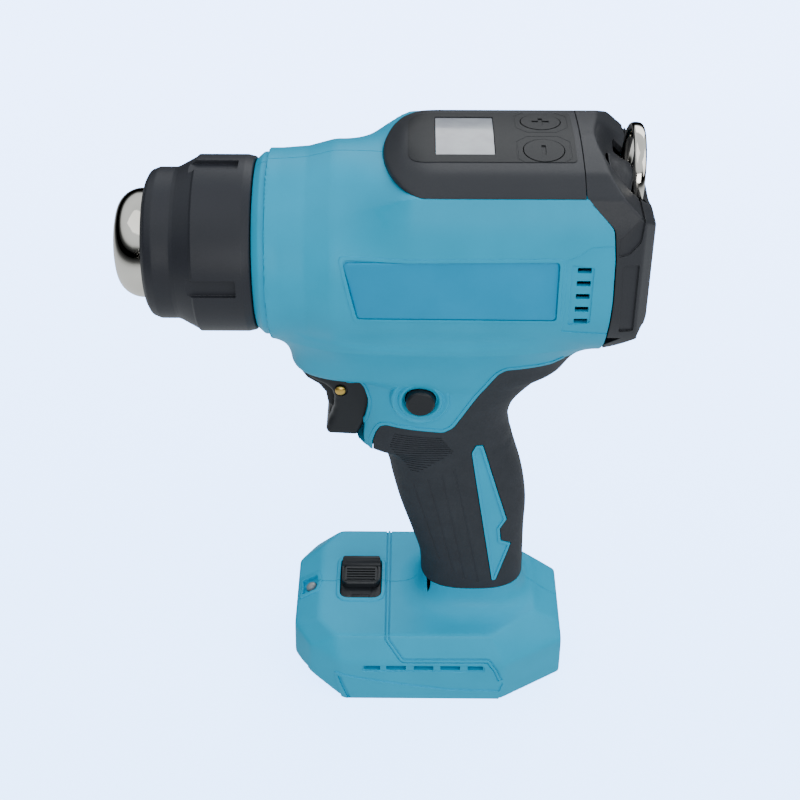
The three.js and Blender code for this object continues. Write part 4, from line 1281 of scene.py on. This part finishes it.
def trigger_group():
    trigger = slab(rounded(TRIGGER, 1.6, 3), 11, 3.2, 0.55, "trigger")
    cut(trigger, block(-40, -9.4, -5.5, 5.5, 129, 160))
    cut(trigger, bar(1.9, -13, 13, (PIN_X, PIN_Z), "y", 32))
    cut(trigger, gather(*[bar(2.9, low, low + 2.7, (PIN_X, PIN_Z), "y", 48) for low in (-13, 10.3)]))
    piece(trigger, "trigger_lever", "trigger_group", TRIGGER_BLACK, "black_plastic", "trigger")
    lever = slab(rounded(LEVER, 1.4, 3), 5.2, 1.8, 0.45, "lever")
    cut(lever, bar(1.9, -12, 12, (PIN_X, PIN_Z), "y", 32))
    notch = rounded([(-29.4, 151.8), (-24.6, 149.6), (-23.0, 150.2), (-27.6, 152.4)], 0.5, 3)
    cut(lever, gather(prism(notch, 4.3, 8), prism(notch, -8, -4.3)))
    piece(lever, "safety_lever_beak", "safety_lever_body", TRIGGER_BLACK, "black_plastic", "safety_lever")
    dome = []
    for degrees in range(0, 91, 15):
        a = math.radians(degrees)
        dome.append((-12.1 + 0.9 * (1 - math.cos(a)), 2.15 * math.sin(a)))
    half = dome + [(-10.9, 2.15), (-10.9, 1.55)]
    profile = half + [(-w, r) for w, r in half[::-1]]
    pin = lathe(profile, (PIN_X, PIN_Z), "y", 48, "pin", closed=False)
    piece(pin, "trigger_pin_rivet", "trigger_group", BRASS, "brass", "trigger_pin", angle=40)


def lock_button():
    profile = rounded([
        (-12.6, 0), (-12.6, 6.8), (-14.4, 6.8), (-14.4, 5.6), (-24.6, 5.6), (-25.3, 4.9), (-25.3, 4.5),
        (-25.1, 0),
    ], [0, 0.3, 0.3, 0.4, 0.5, 0.4, 0.3, 0], 5)
    button = lathe(profile, (LOCK_X, LOCK_Z), "y", 72, "button")
    piece(button, "lock_button_cap", "lock", TRIGGER_BLACK, "black_plastic", "lock_button")


# ---------------------------------------------------------------- slide switch and lamp on the foot
def slide_switch():
    x0, x1, y0, y1 = SWITCH
    base = prism(rounded(rectangle(x0, x1, y0, y1, -SEAM), 3.9, 6), 30.4, 32.1, "z")
    mark = cut(prism(rounded(rectangle(-13.2, -5.2, -9.4, -7.6), 0.6, 3), 31.9, 33, "z"),
               prism(rounded(rectangle(-12.9, -5.5, -9.1, -7.9), 0.5, 3), 31, 34, "z"))
    cut(base, mark)
    bevelled(base, 0.3, 2)
    piece(base, "slide_switch_plate", "tool", TRIGGER_BLACK, "black_plastic", "slide_switch_base")
    left, right = x0 + 0.7, x1 - 0.7
    side_view = rounded([
        (-3.6, 32.4), (-3.6, 34.6), (-2.9, 35.6), (6.2, 36.1), (7.2, 35.2), (9.2, 34.4), (10.6, 34.9),
        (11.6, 36.1), (13.0, 36.1), (14.0, 34.8), (14.0, 32.4),
    ], [0.2, 0.8, 1.0, 0.8, 1.2, 1.4, 1.2, 0.7, 0.9, 0.8, 0.2], 4)
    knob = prism(side_view, left, right, "x")
    knob = within(knob, prism(rounded(rectangle(left, right, -3.6, 14.0), 3.6, 6), 30, 38, "z"))
    knob = bevelled(knob, 0.35, 2)
    grooves = [
        prism(rounded(rectangle(left + 2.2, right - 2.2, y - 0.42, y + 0.42), 0.4, 3), 35.0, 38, "z")
        for y in (-1.7 + 1.55 * i for i in range(5))
    ]
    cut(knob, gather(*grooves))
    ring = cut(prism(rounded(rectangle(left + 0.9, right - 0.9, -2.9, 6.6), 1.6, 4), 35.35, 38, "z"),
               prism(rounded(rectangle(left + 1.4, right - 1.4, -2.4, 6.1), 1.2, 4), 34, 39, "z"))
    cut(knob, ring)
    piece(knob, "slide_switch_slider", "slider", TRIGGER_BLACK, "black_plastic", "slide_switch_knob")


def led_lamp():
    profile = [(-5.6, 0), (-5.6, 2.4), (-0.9, 2.4)]
    for degrees in range(15, 91, 15):
        a = math.radians(degrees)
        profile.append((-0.9 + 1.5 * math.sin(a), 2.4 * math.cos(a)))
    lamp = transformed(lathe(profile, (0, 0), "z", 48, "lamp"), lamp_turn())
    piece(lamp, "lamp_lens_dome", "tool", LAMP, "lamp", "led_lamp", angle=50)


# ---------------------------------------------------------------- screws
def screw(length):
    """A pan-head screw round +Z with a cross recess, its head's seat at the origin."""
    profile = rounded([
        (-length, 0), (-length + 1.6, 1.45), (-0.1, 1.45), (0, 2.9), (1.2, 2.9), (1.9, 2.2), (2.0, 0),
    ], [0, 0.3, 0, 0.15, 0.5, 0.4, 0], 3)
    body = lathe(profile, (0, 0), "z", 40, "screw")
    cross = join(block(-1.5, 1.5, -0.34, 0.34, 0.9, 3), block(-0.34, 0.34, -1.5, 1.5, 0.9, 3))
    return cut(body, cross)


def screw_row(name, length, seats, turn):
    """One screw in each seat, all turned the same way."""
    model = screw(length)
    for i, seat in enumerate(seats):
        label = f"{name}_{i + 1}"
        body = transformed(copy_of(model), Matrix.Translation(Vector(seat) * MM) @ turn)
        piece(body, label + "_body", "tool", STEEL, "steel", label)
    remove(model)


def screws():
    from_right = Matrix.Rotation(-math.pi / 2, 4, "X")
    from_behind = Matrix.Rotation(math.pi / 2, 4, "Y")
    seats = [(x, SCREW_SEAT_Y + 0.1, z) for x, z in HOUSING_SCREWS]
    screw_row("housing_screw", 22, seats, from_right)
    screw_row("rear_cover_screw", 33, [(94.6, y, z) for y, z in REAR_SCREWS], from_behind)


# ---------------------------------------------------------------- CAD pieces kept, with finer materials
KEPT = {
    "display_module": PALE, "control_board": BOARD, "power_board": BOARD, "mica_sleeve": MICA,
    "heater_core": CERAMIC, "heating_coil": WIRE, "thermal_sensor": STEEL, "air_duct": PALE, "motor": STEEL,
    "motor_shaft": STEEL, "fan_impeller": DARK, "intake_filter": FOAM, "trigger_switch": DARK,
    "trigger_spring": STEEL, "terminal_block": DARK, "negative_blade": BRASS, "signal_blade": BRASS,
    "positive_blade": BRASS, "positive_lead": RED, "negative_lead": DARK,
}


def kept_pieces():
    for name, material in KEPT.items():
        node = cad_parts[name]
        node.data.materials.clear()
        node.data.materials.append(material)


housing()
side_panels()
grips()
inlays()
remove(skin)
control_cover()
rear_cover()
front_collar()
nozzle()
hang_ring()
trigger_group()
lock_button()
slide_switch()
led_lamp()
screws()
kept_pieces()


# ---------------------------------------------------------------- camera, light and floor
# How bright the room is, against the height that one looks towards (-1 straight down, 1 straight up).
ROOM_LIGHT = [(-0.5, 0.95), (-0.32, 0.6), (-0.15, 0.06), (0.25, 0.06), (0.42, 0.85), (0.7, 1.05)]
ROOM_ENDS = 0.9  # its brightness straight down and straight up


CAMERA_LENS = 70.3
CAMERA_AT = (0.0128, -0.5053, 0.5066)
CAMERA_TILT, CAMERA_TURN = math.radians(53.47), math.radians(0.53)


def camera():
    data = bpy.data.cameras.new("camera")
    data.lens = CAMERA_LENS
    data.sensor_width = 36
    eye = bpy.data.objects.new("camera", data)
    eye.location = CAMERA_AT
    eye.rotation_euler = (CAMERA_TILT, 0, CAMERA_TURN)
    bpy.context.scene.collection.objects.link(eye)
    bpy.context.scene.camera = eye


def area_light(name, at, towards, size, power):
    data = bpy.data.lights.new(name, "AREA")
    data.shape = "RECTANGLE"
    data.size, data.size_y = size
    data.energy = power
    lamp = bpy.data.objects.new(name, data)
    lamp.location = at
    lamp.rotation_euler = (Vector(towards) - Vector(at)).to_track_quat("-Z", "Y").to_euler()
    bpy.context.scene.collection.objects.link(lamp)


def room():
    """A pale room: bright from above and below, with a darker band at the horizon."""
    world = bpy.data.worlds.new("room")
    world.use_nodes = True
    tree = world.node_tree
    place = tree.nodes.new("ShaderNodeTexCoord").outputs["Generated"]
    parts = tree.nodes.new("ShaderNodeSeparateXYZ")
    tree.links.new(place, parts.inputs[0])
    ramp = tree.nodes.new("ShaderNodeFloatCurve")
    tree.links.new(parts.outputs["Z"], ramp.inputs["Value"])
    ramp.mapping.clip_min_x = -1.0
    curve = ramp.mapping.curves[0]
    for point, at in zip(curve.points, (-1.0, 1.0)):
        point.location = (at, ROOM_ENDS)
    for at, level in ROOM_LIGHT:
        curve.points.new(at, level)
    ramp.mapping.update()
    background = tree.nodes["Background"]
    background.inputs["Color"].default_value = (0.9, 0.95, 1.0, 1)
    tree.links.new(ramp.outputs["Value"], background.inputs["Strength"])
    bpy.context.scene.world = world


def studio():
    middle = (0, 0, 0.13)
    area_light("key", (-0.35, -0.3, 1.2), middle, (0.9, 0.7), 1.8)
    area_light("front", (0.1, -1.3, 0.42), middle, (0.8, 0.5), 7)
    area_light("fill", (0.9, -0.45, 0.7), middle, (0.9, 0.8), 4)
    area_light("back", (0.3, 0.8, 0.9), middle, (1.0, 0.6), 4)
    floor_mesh = bpy.data.meshes.new("floor")
    reach = 6.0
    floor_mesh.from_pydata(
        [(x, y, 0) for x, y in rectangle(-reach, reach, -reach, reach)], [], [(0, 1, 2, 3)],
    )
    floor = bpy.data.objects.new("floor", floor_mesh)
    bpy.context.scene.collection.objects.link(floor)
    paper = Finish("lit_paper")
    fibres = paper.noise(60, 2)
    place = paper.node("ShaderNodeSeparateXYZ", {"Vector": paper.place})
    # Painted light falloff: the paper's glow grows brighter and whiter towards the back.
    painted_falloff = paper.ranged(place.outputs["Y"], -0.3, 0.6, 0, 1)
    paper.set(
        Base_Color=paper.mix(fibres, srgb(236, 241, 247), srgb(240, 244, 249)),
        Roughness=0.6,
        Specular_IOR_Level=0.2,
        Emission_Color=paper.mix(painted_falloff, (0.50, 0.98, 1.9, 1), (0.80, 1.25, 2.3, 1)),
        Emission_Strength=3.4,
    )
    floor_mesh.materials.append(paper.material)
    # The paper glows. Only its own look is wanted, not its light on the tool.
    floor.visible_diffuse = False
    floor.visible_glossy = False


camera()
room()
studio()
